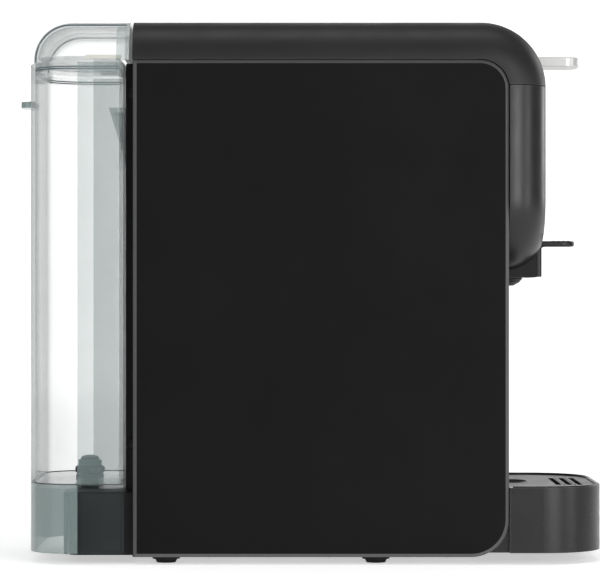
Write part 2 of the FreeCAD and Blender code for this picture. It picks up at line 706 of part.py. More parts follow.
def cord_gland():
    place = ("-gland_place", "gland_side")
    tube = rod("gland_tube", "z", place, ("base_level", "base_level + gland_height"), "gland_radius")
    through = (f"base_level - {OVER}", f"base_level + gland_height + {OVER}")
    hole = rod("gland_bore", "z", place, through, "gland_hole")
    node("cord_gland", cut("cord_gland", tube, hole))


# ---------------------------------------------------------------- brewing group

HOUSING_X = ("fascia_front + seam_gap + slide_gap", "housing_front")
CHANNEL_HALF = "housing_half - housing_wall"


def brew_housing():
    housing = body("brew_housing")
    pad(housing, "z", rectangle(HOUSING_X, mirrored("housing_half")), "housing_floor", "housing_top")
    channel = rectangle((f"{HOUSING_X[0]} + housing_wall", f"housing_front + {OVER}"), mirrored(CHANNEL_HALF))
    pocket(housing, "z", channel, "housing_floor + housing_wall", f"housing_top + {OVER}")
    outlet = rod(
        "housing_outlet", "z", ("nozzle_axis", "0"),
        (f"housing_floor - {OVER}", f"housing_floor + housing_wall + {OVER}"), "nozzle_hole*2",
    )
    node("brew_housing", cut("brew_housing", housing, outlet))


def outlet_nozzle():
    nozzle = body("outlet_nozzle")
    low = "housing_floor - nozzle_drop"
    corners = [
        ("nozzle_hole", low), ("nozzle_radius*0.55", low), ("nozzle_radius*0.85", f"{low} + nozzle_drop*0.4"),
        ("nozzle_radius", "housing_floor - nozzle_drop*0.2"), ("nozzle_radius", "housing_floor"),
        ("nozzle_hole", "housing_floor"),
    ]
    turned(nozzle, corners, ("nozzle_axis", "0"))
    node("outlet_nozzle", nozzle)


def pod_drawer():
    """A sliding holder with a round well, a face and a finger tab."""
    drawer = body("pod_drawer")
    half = f"{CHANNEL_HALF} - slide_gap"
    low = "housing_floor + housing_wall + slide_gap"
    slab = rectangle(("drawer_tail", "drawer_front - drawer_plate"), mirrored(half))
    pad(drawer, "z", slab, low, "drawer_top")
    over = f"drawer_top + {OVER}"
    well = rod("pod_well_space", "z", ("pod_axis", "0"), (f"{low} + pod_well_floor", over), "pod_well")
    drain = rod("pod_drain", "z", ("pod_axis", "0"), (f"{low} - {OVER}", over), "nozzle_hole*1.5")
    node("pod_drawer", cut("pod_drawer", drawer, well, drain))
    face = body("drawer_face")
    depth = ("drawer_front - drawer_plate", "drawer_front")
    sides = mirrored("housing_half")
    pad(face, "z", rectangle(depth, sides), "housing_floor + slide_gap", "drawer_top")
    dress(face, "Fillet", "drawer_plate*0.7", corner("drawer_front", *sides))
    node("drawer_face", face)
    tab = body("drawer_tab")
    plate = rectangle(("drawer_front", "tab_reach"), mirrored("tab_half"))
    pad(tab, "z", plate, "tab_top - tab_thick", "tab_top")
    dress(tab, "Fillet", "tab_half*0.5", corner("tab_reach", "tab_half", "-tab_half"))
    dress(tab, "Fillet", "tab_thick*0.3", lambda edge: edge.BoundBox.XMax > val("tab_reach") - NEAR)
    node("drawer_tab", tab)


def brew_chamber():
    outer = "bore_radius + chamber_wall"
    tube = rod("chamber_tube", "z", ("pod_axis", "0"), ("housing_top", "chamber_top"), outer)
    flange = box(
        "chamber_flange", ("pod_axis - bore_radius - flange_reach", f"pod_axis + {outer}"),
        mirrored("housing_half"), ("housing_top", "housing_top + flange_thick"),
    )
    through = (f"housing_top - {OVER}", f"chamber_top + {OVER}")
    bore = rod("chamber_bore", "z", ("pod_axis", "0"), through, "bore_radius")
    node("brew_chamber", cut("brew_chamber", fuse("chamber_solid", tube, flange), bore))
    lid = body("chamber_cap")
    cap_top = "chamber_top + chamber_cap_height"
    corners = [
        ("rod_radius + fit_gap", "chamber_top"), (outer, "chamber_top"),
        (outer, cap_top), ("rod_radius + fit_gap", cap_top),
    ]
    turned(lid, corners, ("pod_axis", "0"))
    node("chamber_cap", lid)


def brew_piston():
    piston = body("brew_piston")
    low = "housing_top + slide_gap*2"
    head, groove = "bore_radius - fit_gap", "bore_radius - seal_thick"
    ring = (f"{low} + piston_land", f"{low} + piston_land + seal_thick")
    rod_top = "chamber_top + rod_overrun"
    corners = [
        ("0", low), (head, low), (head, ring[0]), (groove, ring[0]), (groove, ring[1]), (head, ring[1]),
        (head, f"{low} + piston_height"), ("rod_radius", f"{low} + piston_height"),
        ("rod_radius", rod_top), ("0", rod_top),
    ]
    turned(piston, corners, ("pod_axis", "0"))
    node("brew_piston", piston)
    seal = body("piston_seal")
    turned(seal, [(groove, ring[0]), (head, ring[0]), (head, ring[1]), (groove, ring[1])], ("pod_axis", "0"))
    node("piston_seal", seal)
    link = body("lift_link")
    strap = rectangle(("pod_axis - rod_radius", "pod_axis + rod_radius"), (rod_top, "link_top"))
    pad(link, "y", strap, *mirrored("rod_radius*0.7"))
    eye = rod("link_eye", "y", ("pod_axis", "link_top - eye_drop"), mirrored("rod_radius"), "pin_radius")
    node("lift_link", cut("lift_link", link, eye))

# ---------------------------------------------------------------- lever

HINGE = ("hinge_place", "hinge_level")


def lever():
    """An arm that lies flush in the top, on a drum, with a metal tip under its front end."""
    strip = box(
        "arm_space", ("hinge_place", f"nose_reach + {OVER}"), mirrored("lever_half"),
        ("tip_top", f"machine_top + {OVER}"),
    )
    skin = common("arm_skin", cut("arm_shell", outer_form, lever_form), strip)
    drum = rod("lever_drum", "y", HINGE, mirrored("lever_half"), "drum_radius")
    seat = box(
        "inlay_seat", INLAY_X, mirrored("inlay_half"), ("machine_top - inlay_depth", f"machine_top + {OVER}")
    )
    bore = rod("lever_bore", "y", HINGE, mirrored(f"lever_half + {OVER}"), "pin_radius + fit_gap")
    node("lever_arm", cut("lever_arm", fuse("arm_solid", skin, drum), seat, bore))
    inlay = box("lever_inlay", INLAY_X, mirrored("inlay_half"), ("machine_top - inlay_depth", "machine_top"))
    node("lever_inlay", inlay)
    tip = body("lever_tip")
    plate = rectangle(("tip_root", "tip_reach"), mirrored("lever_half"))
    pad(tip, "z", plate, "tip_top - tip_thick", "tip_top")
    dress(tip, "Fillet", "lever_half*0.6", corner("tip_reach", "lever_half", "-lever_half"))
    dress(tip, "Fillet", "tip_thick*0.12", lambda edge: edge.BoundBox.XMax > val("tip_reach") - NEAR)
    node("lever_tip", tip)


INLAY_X = ("hinge_place + drum_radius", "hinge_place + drum_radius + inlay_length")


def lever_hinge():
    outer = "lever_half + slide_gap + bracket_wall"
    node("lever_pin", rod("lever_pin", "y", HINGE, mirrored(outer), "pin_radius"))
    cheeks = []
    sides = {"left": ("lever_half + slide_gap", outer), "right": (f"-({outer})", "-lever_half - slide_gap")}
    for name, ends in sides.items():
        eye = rod(f"{name}_eye", "y", HINGE, ends, "pin_radius*2.4")
        post = box(
            f"{name}_post", ("hinge_place - pin_radius*2", "hinge_place + pin_radius*2"), ends,
            ("frame_top - beam_drop", "hinge_level"),
        )
        bore = rod(f"{name}_bore", "y", HINGE, mirrored(f"{outer} + {OVER}"), "pin_radius")
        cheeks.append(cut(f"{name}_cheek", fuse(f"{name}_cheek_solid", eye, post), bore))
    beam = box(
        "hinge_beam", ("hinge_place - beam_reach", "fascia_front - shell_wall - seam_gap - frame_wall"),
        mirrored(outer), ("frame_top - beam_drop - beam_thick", "frame_top - beam_drop"),
    )
    node("hinge_bracket", fuse("hinge_bracket", beam, *cheeks))


# ---------------------------------------------------------------- buttons


def buttons():
    foot = "machine_top - button_depth"
    for name, place in BUTTONS.items():
        cap = body(name)
        collar = "button_radius + collar_width"
        under = "machine_top - shell_wall - seam_gap"
        corners = [
            ("0", foot), ("button_stem", foot), ("button_stem", f"{under} - collar_height"),
            (collar, f"{under} - collar_height"), (collar, under), ("button_radius", under),
            ("button_radius", "machine_top - button_edge"), ("button_radius - button_edge", "machine_top"),
            ("0", "machine_top - button_dish"),
        ]
        turned(cap, corners, place)
        node(name, cap)
    board = box(
        "button_board", ("-power_place - board_margin", "-button_place + board_margin"),
        mirrored("button_side + board_margin - collar_height"), ("board_level", "board_level + board_thick"),
    )
    node("button_board", board)
    switches = [
        box(
            f"{name}_switch", (f"{place[0]} - switch_half", f"{place[0]} + switch_half"),
            (f"{place[1]} - switch_half", f"{place[1]} + switch_half"),
            ("board_level + board_thick", "board_level + board_thick + switch_height"),
        )
        for name, place in BUTTONS.items()
    ]
    node("button_switches", group("button_switches", switches))


# ---------------------------------------------------------------- water tank

def tank_form(name, inset, low, high):
    """An upright block with large round rear corners."""
    form = body(name)
    half, back, ahead = f"{HALF} - {inset}", f"-tank_rear + {inset}", f"-tank_front - {inset}"
    pad(form, "z", rectangle((back, ahead), mirrored(half)), low, high)
    sides = (half, f"-({half})")
    dress(form, "Fillet", f"tank_corner - {inset}", corner(back, *sides))
    if val(f"tank_front_corner - {inset}") > NEAR:
        dress(form, "Fillet", f"tank_front_corner - {inset}", corner(ahead, *sides))
    return form


def water_tank():
    """A clear tube with a finger pocket and a rear lug, on a floor whose skirt hangs over the seat."""
    weld = "tank_floor + tank_wall"
    outside = tank_form("tank_outside", "0", weld, "tank_top")
    water = tank_form("tank_water", "tank_wall", f"{weld} - {OVER}", f"tank_top + {OVER}")
    window = grip_form("grip_window", "tank_wall", "0")
    node("tank_body", cut("tank_body", outside, water, window))
    shell = grip_form("grip_shell", "tank_wall", "0")
    node("grip_pocket", cut("grip_pocket", shell, grip_form("grip_space", "0", OVER)))
    lug = body("tank_lug")
    plate = rectangle(("-lug_reach", "-tank_rear"), mirrored("lug_half"))
    pad(lug, "z", plate, "lug_level", "lug_level + lug_thick")
    dress(lug, "Fillet", "lug_half*0.5", corner("-lug_reach", "lug_half", "-lug_half"))
    node("tank_lug", lug)
    skirt = tank_form("skirt_outside", "0", "tank_foot", weld)
    room = tank_form("skirt_room", "tank_wall", f"tank_foot - {OVER}", "tank_floor")
    doorway = box(
        "skirt_doorway", ("-tank_front - tank_wall*1.5", "-tank_front + tank_wall/2"),
        mirrored("seat_half + slide_gap*3"), (f"tank_foot - {OVER}", "tank_floor"),
    )
    outlet_z = (f"tank_floor - {OVER}", f"tank_floor + {OVER}")
    outlet = rod("tank_outlet", "z", VALVE, outlet_z, "stub_radius")
    node("tank_skirt", cut("tank_skirt", skirt, room, doorway, outlet))


def tank_rails():
    """Two upright rails on the back of the case, beside the finger pocket, that guide the tank."""
    depth = ("-tank_front + rail_gap", "-case_back")
    height = ("seat_top", "tank_top - rail_drop")
    sides = {
        "left": ("rail_inner", "rail_inner + rail_width"),
        "right": ("-rail_inner - rail_width", "-rail_inner"),
    }
    rails = [box(f"{name}_rail", depth, side, height) for name, side in sides.items()]
    node("tank_rails", group("tank_rails", rails))


def grip_form(name, wall, ahead):
    """The finger pocket as a wedge: a flat ceiling, tapering to nothing at its foot."""
    wedge = body(name)
    low, high = f"grip_top - grip_height - {wall}", f"grip_top + {wall}"
    front, deep = f"-tank_front + {ahead}", f"-tank_front - grip_depth - {wall}"
    corners = [(front, low), (front, high), (deep, high)]
    if val(ahead) > 0:
        corners.append(("-tank_front", low))
    pad(wedge, "y", corners, *mirrored(f"grip_half + {wall}"))
    return wedge


def tank_lid():
    """A cover with a round back, whose rim plugs into the tank."""
    outside = lid_form("lid_outside", "0", "lid_foot")
    inside = lid_form("lid_inside", "lid_wall", f"lid_foot - {OVER}")
    rim = "(tank_wall + seam_gap)"
    plug = tank_form("lid_plug", rim, "tank_top - plug_depth", "lid_foot + lid_wall")
    inner_rim = f"({rim} + lid_wall*0.6)"
    room = tank_form("lid_plug_room", inner_rim, f"tank_top - plug_depth - {OVER}", "lid_foot")
    node("tank_lid", fuse("tank_lid", cut("lid_cover", outside, inside), cut("lid_rim", plug, room)))


def lid_form(name, inset, foot):
    form = body(name)
    half, back = f"{HALF} - {inset}", f"-lid_rear + {inset}"
    ahead, top = f"-lid_front - {inset}", f"machine_top - {inset}"
    pad(form, "z", rectangle((back, ahead), mirrored(half)), foot, top)
    sides = (half, f"-({half})")
    dress(form, "Fillet", f"tank_corner - {inset}", corner(back, *sides))
    dress(
        form, "Fillet", f"lid_round - {inset}",
        lambda edge: lies(edge, z=top) and edge.BoundBox.XMin < val(ahead) - 1,
    )
    return form


VALVE = ("-valve_place", "0")


def tank_valve():
    stem = body("valve_body")
    floor_top = "tank_floor + tank_wall"
    bore, low = "valve_bore", "stub_foot"
    corners = [
        (bore, low), ("stub_radius", low), ("stub_radius", floor_top), ("valve_radius", floor_top),
        ("valve_radius", f"{floor_top} + 1.6"), ("valve_radius - 0.7", f"{floor_top} + 2"),
        ("valve_radius", f"{floor_top} + 2.8"), ("valve_radius", "valve_body_top - 0.6"),
        ("valve_radius - 0.6", "valve_body_top"), (bore, "valve_body_top"),
    ]
    turned(stem, corners, VALVE)
    node("valve_body", stem)
    ring = body("valve_ring")
    ring_top = "valve_body_top + valve_ring_height"
    corners = [
        (bore, "valve_body_top"), ("valve_ring_radius", "valve_body_top"),
        ("valve_ring_radius", ring_top), (bore, ring_top),
    ]
    turned(ring, corners, VALVE)
    node("valve_ring", ring)
    cap = body("valve_cap")
    cap_top = f"{ring_top} + valve_cap_height"
    corners = [
        ("0", ring_top), ("valve_cap_radius", ring_top),
        ("valve_cap_radius*0.85", f"{ring_top} + valve_cap_height*0.7"),
        ("valve_cap_radius*0.4", cap_top), ("0", cap_top),
    ]
    turned(cap, corners, VALVE)
    node("valve_cap", cap)
    poppet = body("valve_poppet")
    collar = f"{bore} - fit_gap"
    head = ("valve_body_top - poppet_drop - poppet_head", "valve_body_top - poppet_drop")
    corners = [
        ("0", "stub_foot + seam_gap"), ("poppet_stem", "stub_foot + seam_gap"), ("poppet_stem", head[0]),
        (collar, head[0]),
        (collar, head[1]), ("0", head[1]),
    ]
    turned(poppet, corners, VALVE)
    node("valve_poppet", poppet)
    pitch, radius = val("spring_pitch"), val(f"{bore} - spring_side")
    helix = Part.makeLongHelix(pitch, val(f"{ring_top} - ({head[1]}) - spring_gap*2"), radius)
    start = helix.Vertexes[0].Point
    along = Vector(0, 2 * math.pi * radius, pitch)
    wire_end = Part.Wire(Part.makeCircle(val("spring_wire"), start, along))
    spring = doc.addObject("Part::Feature", "valve_spring")
    spring.Shape = Part.Wire(helix.Edges).makePipeShell([wire_end], True, True)
    spring.Placement = Placement(Vector(val(VALVE[0]), 0, val(f"{head[1]} + spring_gap")), Rotation())
    node("valve_spring", spring)


def tank_seat():
    """The ledge that the tank stands over, with the socket that takes its valve."""
    ledge = body("seat_ledge")
    across = ("-seat_rear", "-case_back")
    pad(ledge, "z", rectangle(across, mirrored("seat_half")), "seat_foot", "seat_top")
    sides = ("seat_half", "-seat_half")
    dress(ledge, "Fillet", "seat_corner", corner("-seat_rear", *sides))
    dress(
        ledge, "Chamfer", "slide_gap*3",
        lambda edge: lies(edge, z="seat_top") and edge.BoundBox.XMin < val("-case_back") - 1,
    )
    room = box(
        "seat_room", ("-seat_rear + shell_wall", "-case_back - shell_wall"),
        mirrored("seat_half - shell_wall"), (f"seat_foot - {OVER}", "seat_top - shell_wall"),
    )
    wall = "stub_radius + slide_gap*4"
    post_z = ("seat_top - socket_depth - shell_wall", "seat_top")
    post = rod("socket_post", "z", VALVE, post_z, f"{wall} + shell_wall")
    hole = rod("socket_bore", "z", VALVE, ("seat_top - socket_depth", f"seat_top + {OVER}"), wall)
    solid = fuse("seat_solid", cut("seat_shell", ledge, room), post)
    node("tank_seat", cut("tank_seat", solid, hole, hose_way("seat")))
    seal = body("inlet_seal")
    low = "seat_top - seal_thick*1.5"
    inner = "stub_radius + slide_gap"
    high = f"{low} + seal_thick"
    turned(seal, [(inner, low), (wall, low), (wall, high), (inner, high)], VALVE)
    node("inlet_seal", seal)


# ---------------------------------------------------------------- drip tray


def tray_form(name, inset, low, high):
    form = body(name)
    wide, narrow = f"tray_half - {inset}", f"{INSIDE} - slide_gap - {inset}"
    back, step, front = f"tray_rear + {inset}", f"case_front + seam_gap + {inset}", f"tray_front - {inset}"
    corners = [
        (back, f"-({narrow})"), (step, f"-({narrow})"), (step, f"-({wide})"), (front, f"-({wide})"),
        (front, wide), (step, wide), (step, narrow), (back, narrow),
    ]
    pad(form, "z", corners, low, high)
    sides = (wide, f"-({wide})")
    dress(form, "Fillet", f"tray_corner - {inset}", corner(front, *sides))
    return form


def drip_tray():
    outside = tray_form("tray_outside", "0", "tray_foot", "tray_top")
    room = tray_form("tray_room", "(tray_wall*2)", "tray_foot + tray_wall", f"tray_top + {OVER}")
    ledge = tray_form("tray_ledge", "tray_wall", "tray_top - tray_rim_step", f"tray_top + {OVER}")
    node("drip_tray", cut("drip_tray", outside, room, ledge))
    plate = tray_form("grille_plate", "(tray_wall + slide_gap)", GRILLE_Z[0], GRILLE_Z[1])
    cuts = (f"tray_foot + {OVER}", f"tray_top + {OVER}")
    hole = rod("grille_hole", "z", ("nozzle_axis", "0"), cuts, "drip_hole")
    slots = []
    for first in ("slot_first", "rear_slot_first"):
        for i in range(3):
            middle = f"{first} + slot_pitch*{i}"
            ends = (f"{middle} - slot_width/2", f"{middle} + slot_width/2")
            slots.append(box(f"{first}_{i}", ends, mirrored("slot_half"), cuts))
    node("cup_grille", cut("cup_grille", plate, hole, *slots))
    level = body("level_float")
    low = "float_top - float_height"
    corners = [
        ("0", low), ("float_radius", low), ("float_radius", "float_top - float_edge"),
        ("float_radius - float_edge", "float_top"), ("0", "float_top"),
    ]
    turned(level, corners, ("nozzle_axis", "0"))
    node("level_float", level)


GRILLE_Z = ("tray_top - tray_rim_step + slide_gap/3", "tray_top - tray_rim_step + slide_gap/3 + grille_thick")

# ---------------------------------------------------------------- inner pieces


def pump():
    axis = ("0", "pump_level")
    ends = ("-pump_rear", "pump_length - pump_rear")
    node("pump", rod("pump", "x", axis, ends, "pump_radius"))
    rings, saddles = [], []
    for i, place in enumerate((f"{ends[0]} + mount_inset", f"{ends[1]} - mount_inset"), start=1):
        span = (f"{place} - mount_width/2", f"{place} + mount_width/2")
        through = (f"{span[0]} - {OVER}", f"{span[1]} + {OVER}")
        disc = rod(f"mount_disc_{i}", "x", axis, span, "mount_ring")
        rings.append(cut(f"mount_{i}", disc, rod(f"mount_hole_{i}", "x", axis, through, "pump_radius")))
        height = ("base_level + base_floor", "pump_level - mount_ring*0.5")
        block = box(f"saddle_block_{i}", span, mirrored("mount_ring*0.6"), height)
        hollow = rod(f"saddle_hollow_{i}", "x", axis, through, "mount_ring")
        channel = box(
            f"saddle_channel_{i}", through, mirrored("hose_radius*3"),
            ("base_level", "inlet_hose_level + hose_radius*1.5"),
        )
        saddles.append(cut(f"saddle_{i}", block, hollow, channel))
    node("pump_mounts", group("pump_mounts", rings))
    node("pump_saddles", group("pump_saddles", saddles))


def heating_block():
    floor = "shelf_level + frame_wall"
    block = body("heating_block")
    across = ("-boiler_rear", "boiler_length - boiler_rear")
    pad(block, "z", rectangle(across, mirrored("boiler_half")), floor, f"{floor} + boiler_height")
    uprights = [(end, side) for end in across for side in ("boiler_half", "-boiler_half")]
    dress(block, "Fillet", "boiler_half*0.25", lambda edge: any(lies(edge, x=x, y=y) for x, y in uprights))
    node("heating_block", block)


def flow_meter():
    meter = body("flow_meter")
    low = "base_level + base_floor"
    high = f"{low} + meter_height"
    corners = [
        ("0", low), ("meter_radius", low), ("meter_radius", f"{high} - meter_neck"),
        ("meter_radius*0.6", f"{high} - meter_neck"), ("meter_radius*0.6", high), ("0", high),
    ]
    turned(meter, corners, ("-meter_place", "-meter_side"))
    node("flow_meter", meter)


def control_board():
    low = "shelf_level + frame_wall"
    place = ("-frame_half + control_margin", "-frame_half + control_margin + board_thick")
    across = ("-frame_rear + control_margin", "-frame_rear + control_margin + control_length")
    node("control_board", box("control_board", across, place, (low, f"{low} + control_height")))
    relays = []
    for i in range(3):
        back = f"{across[0]} + relay_first + relay_pitch*{i}"
        relays.append(box(
            f"relay_{i}", (back, f"{back} + relay_length"), (place[1], f"{place[1]} + relay_depth"),
            (f"{low} + relay_level", f"{low} + relay_level + relay_height"),
        ))
    node("board_relays", group("board_relays", relays))


def hose(name, points):
    """A round hose along straight runs joined by tangent arcs."""
    places = [Vector(*(val(text) for text in point)) for point in points]
    bend = val("hose_bend")
    edges, start = [], places[0]
    for before, corner, after in zip(places, places[1:], places[2:]):
        come, leave = (corner - before).normalize(), (after - corner).normalize()
        trim = bend * abs((come - leave).Length) / (come + leave).Length
        enter, out = corner - come * trim, corner + leave * trim
        inward = (leave - come).normalize()
        centre = corner + inward * (trim * trim + bend * bend) ** 0.5
        middle = centre + (corner - centre).normalize() * bend
        edges += [Part.LineSegment(start, enter).toShape(), Part.Arc(enter, middle, out).toShape()]
        start = out
    edges.append(Part.LineSegment(start, places[-1]).toShape())
    path = Part.Wire(edges)
    ring = Part.Wire(Part.makeCircle(val("hose_radius"), places[0], places[1] - places[0]))
    tube = doc.addObject("Part::Feature", name)
    tube.Shape = path.makePipeShell([ring], True, False)
    node(name, tube)


def hoses():
    meter_top = "base_level + base_floor + meter_height"
    pump_front = "pump_length - pump_rear"
    hose("inlet_hose", [
        ("-valve_place", "0", "seat_top - socket_depth - shell_wall"),
        ("-valve_place", "0", "inlet_hose_level"),
        ("-meter_place", "0", "inlet_hose_level"),
        ("-meter_place", "meter_radius - meter_side", "inlet_hose_level"),
    ])
    hose("pump_hose", [
        ("-meter_place", "-meter_side", meter_top),
        ("-meter_place", "-meter_side", "pump_level"),
        ("-meter_place", "-pump_radius", "pump_level"),
    ])
    hose("pressure_hose", [
        (pump_front, "0", "pump_level"),
        ("riser_place", "0", "pump_level"),
        ("riser_place", "-riser_side", "pump_level"),
        ("riser_place", "-riser_side", "boiler_inlet"),
        ("riser_place", "-boiler_half", "boiler_inlet"),
    ])
    hose("brew_hose", [
        ("brew_hose_place", "0", "shelf_level + frame_wall + boiler_height"),
        ("brew_hose_place", "0", "brew_hose_level"),
        ("pod_axis - bore_radius - chamber_wall", "0", "brew_hose_level"),
    ])


# ---------------------------------------------------------------- assembly

top_shell()
head_cover()
side_panel("side_panel_left", 1)
side_panel("side_panel_right", -1)
base_pan()
rear_wall()
case_screws()
front_fascia()
inner_frame()
feet()
cord_gland()
brew_housing()
outlet_nozzle()
pod_drawer()
brew_chamber()
brew_piston()
lever()
lever_hinge()
buttons()
water_tank()
tank_rails()
tank_lid()
tank_valve()
tank_seat()
drip_tray()
pump()
heating_block()
flow_meter()
control_board()
hoses()
doc.recompute()

faults = [item.Label for item in doc.Objects if {"Invalid", "Error"} & set(item.State)]
faults += [label for label, item in NODES.items() if item.Shape.isNull() or not item.Shape.isValid()]
if faults:
    raise RuntimeError("these objects failed: " + ", ".join(faults))
for label, item in NODES.items():
    item.Shape.exportStep(f"parts/{label}.step")
print(len(NODES), "nodes written")
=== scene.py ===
"""Looks of the pod coffee machine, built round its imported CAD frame. Metres, +X to the front, +Z up."""
import json
import math

import bmesh
import bpy
from mathutils import Matrix, Vector


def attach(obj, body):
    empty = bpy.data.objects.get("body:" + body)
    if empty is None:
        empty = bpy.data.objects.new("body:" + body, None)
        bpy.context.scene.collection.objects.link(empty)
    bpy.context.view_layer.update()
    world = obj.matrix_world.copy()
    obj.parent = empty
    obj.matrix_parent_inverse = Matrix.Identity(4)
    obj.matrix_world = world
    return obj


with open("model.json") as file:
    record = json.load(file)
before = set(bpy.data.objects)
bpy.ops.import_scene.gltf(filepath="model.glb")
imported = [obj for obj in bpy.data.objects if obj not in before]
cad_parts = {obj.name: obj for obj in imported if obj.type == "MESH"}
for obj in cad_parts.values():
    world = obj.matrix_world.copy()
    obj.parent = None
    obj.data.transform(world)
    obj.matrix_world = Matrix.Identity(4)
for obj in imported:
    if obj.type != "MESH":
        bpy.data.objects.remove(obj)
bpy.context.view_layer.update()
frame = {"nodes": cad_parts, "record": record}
NODES = frame["nodes"]
MM = 0.001


# ---------------------------------------------------------------- camera, lights, floor

CAMERA_PLACE = (-0.00435, -1.456, 0.13575)
LENS = 168              # mm
SENSOR_WIDTH = 36       # mm
VIEW_REACH = 20         # metres seen in front of the camera
MACHINE_MIDDLE = (0, 0, 0.15)
HEAD_MIDDLE = (0.11, 0, 0.14)
TRAY_MIDDLE = (0.13, 0, 0.02)
WORLD_LIGHT = 0.2
FLOOR_HALF = 12         # half the floor's width
FLOOR_NEAR = -12        # its near edge
FLOOR_FAR = 4           # where it starts to rise
FLOOR_TOP = 6           # how high it rises
FLOOR_CURVE = 2         # radius of the rise
CURVE_STEPS = 16
GLOW_ALONG_Y = (        # the floor's own light, as (place, share of white)
    (-3, 0.18), (-0.8, 0.3), (-0.2, 0.5), (0.2, 0.5), (2.5, 0.9),
)
GLOW_AT_SIDES = 0.25    # what is left of it far out along X


def add_camera():
    data = bpy.data.cameras.new("camera")
    data.lens = LENS
    data.sensor_width = SENSOR_WIDTH
    data.clip_end = VIEW_REACH
    camera = bpy.data.objects.new("camera", data)
    camera.location = CAMERA_PLACE
    camera.rotation_euler = (math.radians(90), 0, 0)
    bpy.context.scene.collection.objects.link(camera)
    bpy.context.scene.camera = camera


def add_softbox(name, place, aim, width, height, power):
    """A white area light that faces the aim point."""
    data = bpy.data.lights.new(name, "AREA")
    data.shape = "RECTANGLE"
    data.size, data.size_y = width, height
    data.energy = power
    lamp = bpy.data.objects.new(name, data)
    lamp.location = place
    lamp.rotation_euler = (Vector(aim) - Vector(place)).to_track_quat("-Z", "Y").to_euler()
    bpy.context.scene.collection.objects.link(lamp)


def add_studio():
    """Five softboxes and an even, dim surround."""
    for name, place, aim, width, height, power in (
        ("softbox_front", (0.6, -1.16, 0.27), HEAD_MIDDLE, 0.5, 0.6, 6.5),
        ("softbox_right", (1.25, -0.74, 0.1), TRAY_MIDDLE, 0.3, 0.7, 4),
        ("softbox_left", (-1.2, -1.0, 0.6), MACHINE_MIDDLE, 0.5, 0.9, 5),
        ("softbox_top", (0.0, -0.25, 1.4), MACHINE_MIDDLE, 1.1, 0.6, 5),
        ("softbox_behind", (1.2, 1.0, 0.6), MACHINE_MIDDLE, 0.5, 0.9, 5),
    ):
        add_softbox(name, place, aim, width, height, power)
    world = bpy.data.worlds.new("studio")
    world.use_nodes = True
    surround = world.node_tree.nodes["Background"]
    surround.inputs["Color"].default_value = (1, 1, 1, 1)
    surround.inputs["Strength"].default_value = WORLD_LIGHT
    bpy.context.scene.world = world
    bpy.context.scene.view_settings.view_transform = "Standard"


def add_floor():
    """A pale sweep: flat under the machine, rising in a wide curve far behind it."""
    mesh = bpy.data.meshes.new("studio_floor")
    build = bmesh.new()
    profile = [(FLOOR_NEAR, 0)]
    for step in range(CURVE_STEPS + 1):
        turn = math.radians(90) * step / CURVE_STEPS
        along, up = FLOOR_CURVE * math.sin(turn), FLOOR_CURVE * math.cos(turn)
        profile.append((FLOOR_FAR + along, FLOOR_CURVE - up))
    profile.append((FLOOR_FAR + FLOOR_CURVE, FLOOR_TOP))
    rows = [[build.verts.new((x, y, z)) for x in (-FLOOR_HALF, FLOOR_HALF)] for y, z in profile]
    for low, high in zip(rows, rows[1:]):
        build.faces.new((low[0], low[1], high[1], high[0]))
    build.to_mesh(mesh)
    build.free()
    mesh.shade_smooth()
    floor = bpy.data.objects.new("studio_floor", mesh)
    bpy.context.scene.collection.objects.link(floor)
    material, tree, shader = new_material("pale_floor")
    apart = tree.nodes.new("ShaderNodeSeparateXYZ")
    tree.links.new(place_of(tree), apart.inputs["Vector"])
    glow = stops(tree, apart.outputs["Y"], GLOW_ALONG_Y)
    middle = remap(tree, combine(tree, "ABSOLUTE", apart.outputs["X"]), 1, GLOW_AT_SIDES, 1.0, 1.8)
    tree.links.new(combine(tree, "MULTIPLY", glow, middle), shader.inputs["Emission Strength"])
    shader.inputs["Emission Color"].default_value = (1, 1, 1, 1)
    shader.inputs["Base Color"].default_value = (0.93, 0.93, 0.93, 1)
    shader.inputs["Roughness"].default_value = 0.9
    shader.inputs["Specular IOR Level"].default_value = 0.1
    mesh.materials.append(material)


# ---------------------------------------------------------------- materials


def tone(value):
    """Linear value of an 8-bit display grey."""
    share = value / 255
    return ((share + 0.055) / 1.055) ** 2.4


def tint(red, green, blue):
    return (tone(red), tone(green), tone(blue), 1)


def add_node(tree, kind, **values):
    node = tree.nodes.new(kind)
    for name, value in values.items():
        node.inputs[name.replace("_", " ")].default_value = value
    return node


def place_of(tree):
    """Where a point of the piece is at rest, in metres."""
    return tree.nodes.new("ShaderNodeTexCoord").outputs["Object"]


def speckle(tree, scale, detail=3):
    noise = add_node(tree, "ShaderNodeTexNoise", Scale=scale, Detail=detail)
    tree.links.new(place_of(tree), noise.inputs["Vector"])
    return noise.outputs["Fac"]


def remap(tree, source, low, high, start=0.3, end=0.7):
    ranges = tree.nodes.new("ShaderNodeMapRange")
    for name, value in (("From Min", start), ("From Max", end), ("To Min", low), ("To Max", high)):
        ranges.inputs[name].default_value = value
    tree.links.new(source, ranges.inputs["Value"])
    return ranges.outputs["Result"]


def combine(tree, operation, *sources):
    """A math operation on one or two sockets."""
    node = tree.nodes.new("ShaderNodeMath")
    node.operation = operation
    for socket, source in zip(node.inputs, sources):
        tree.links.new(source, socket)
    return node.outputs["Value"]


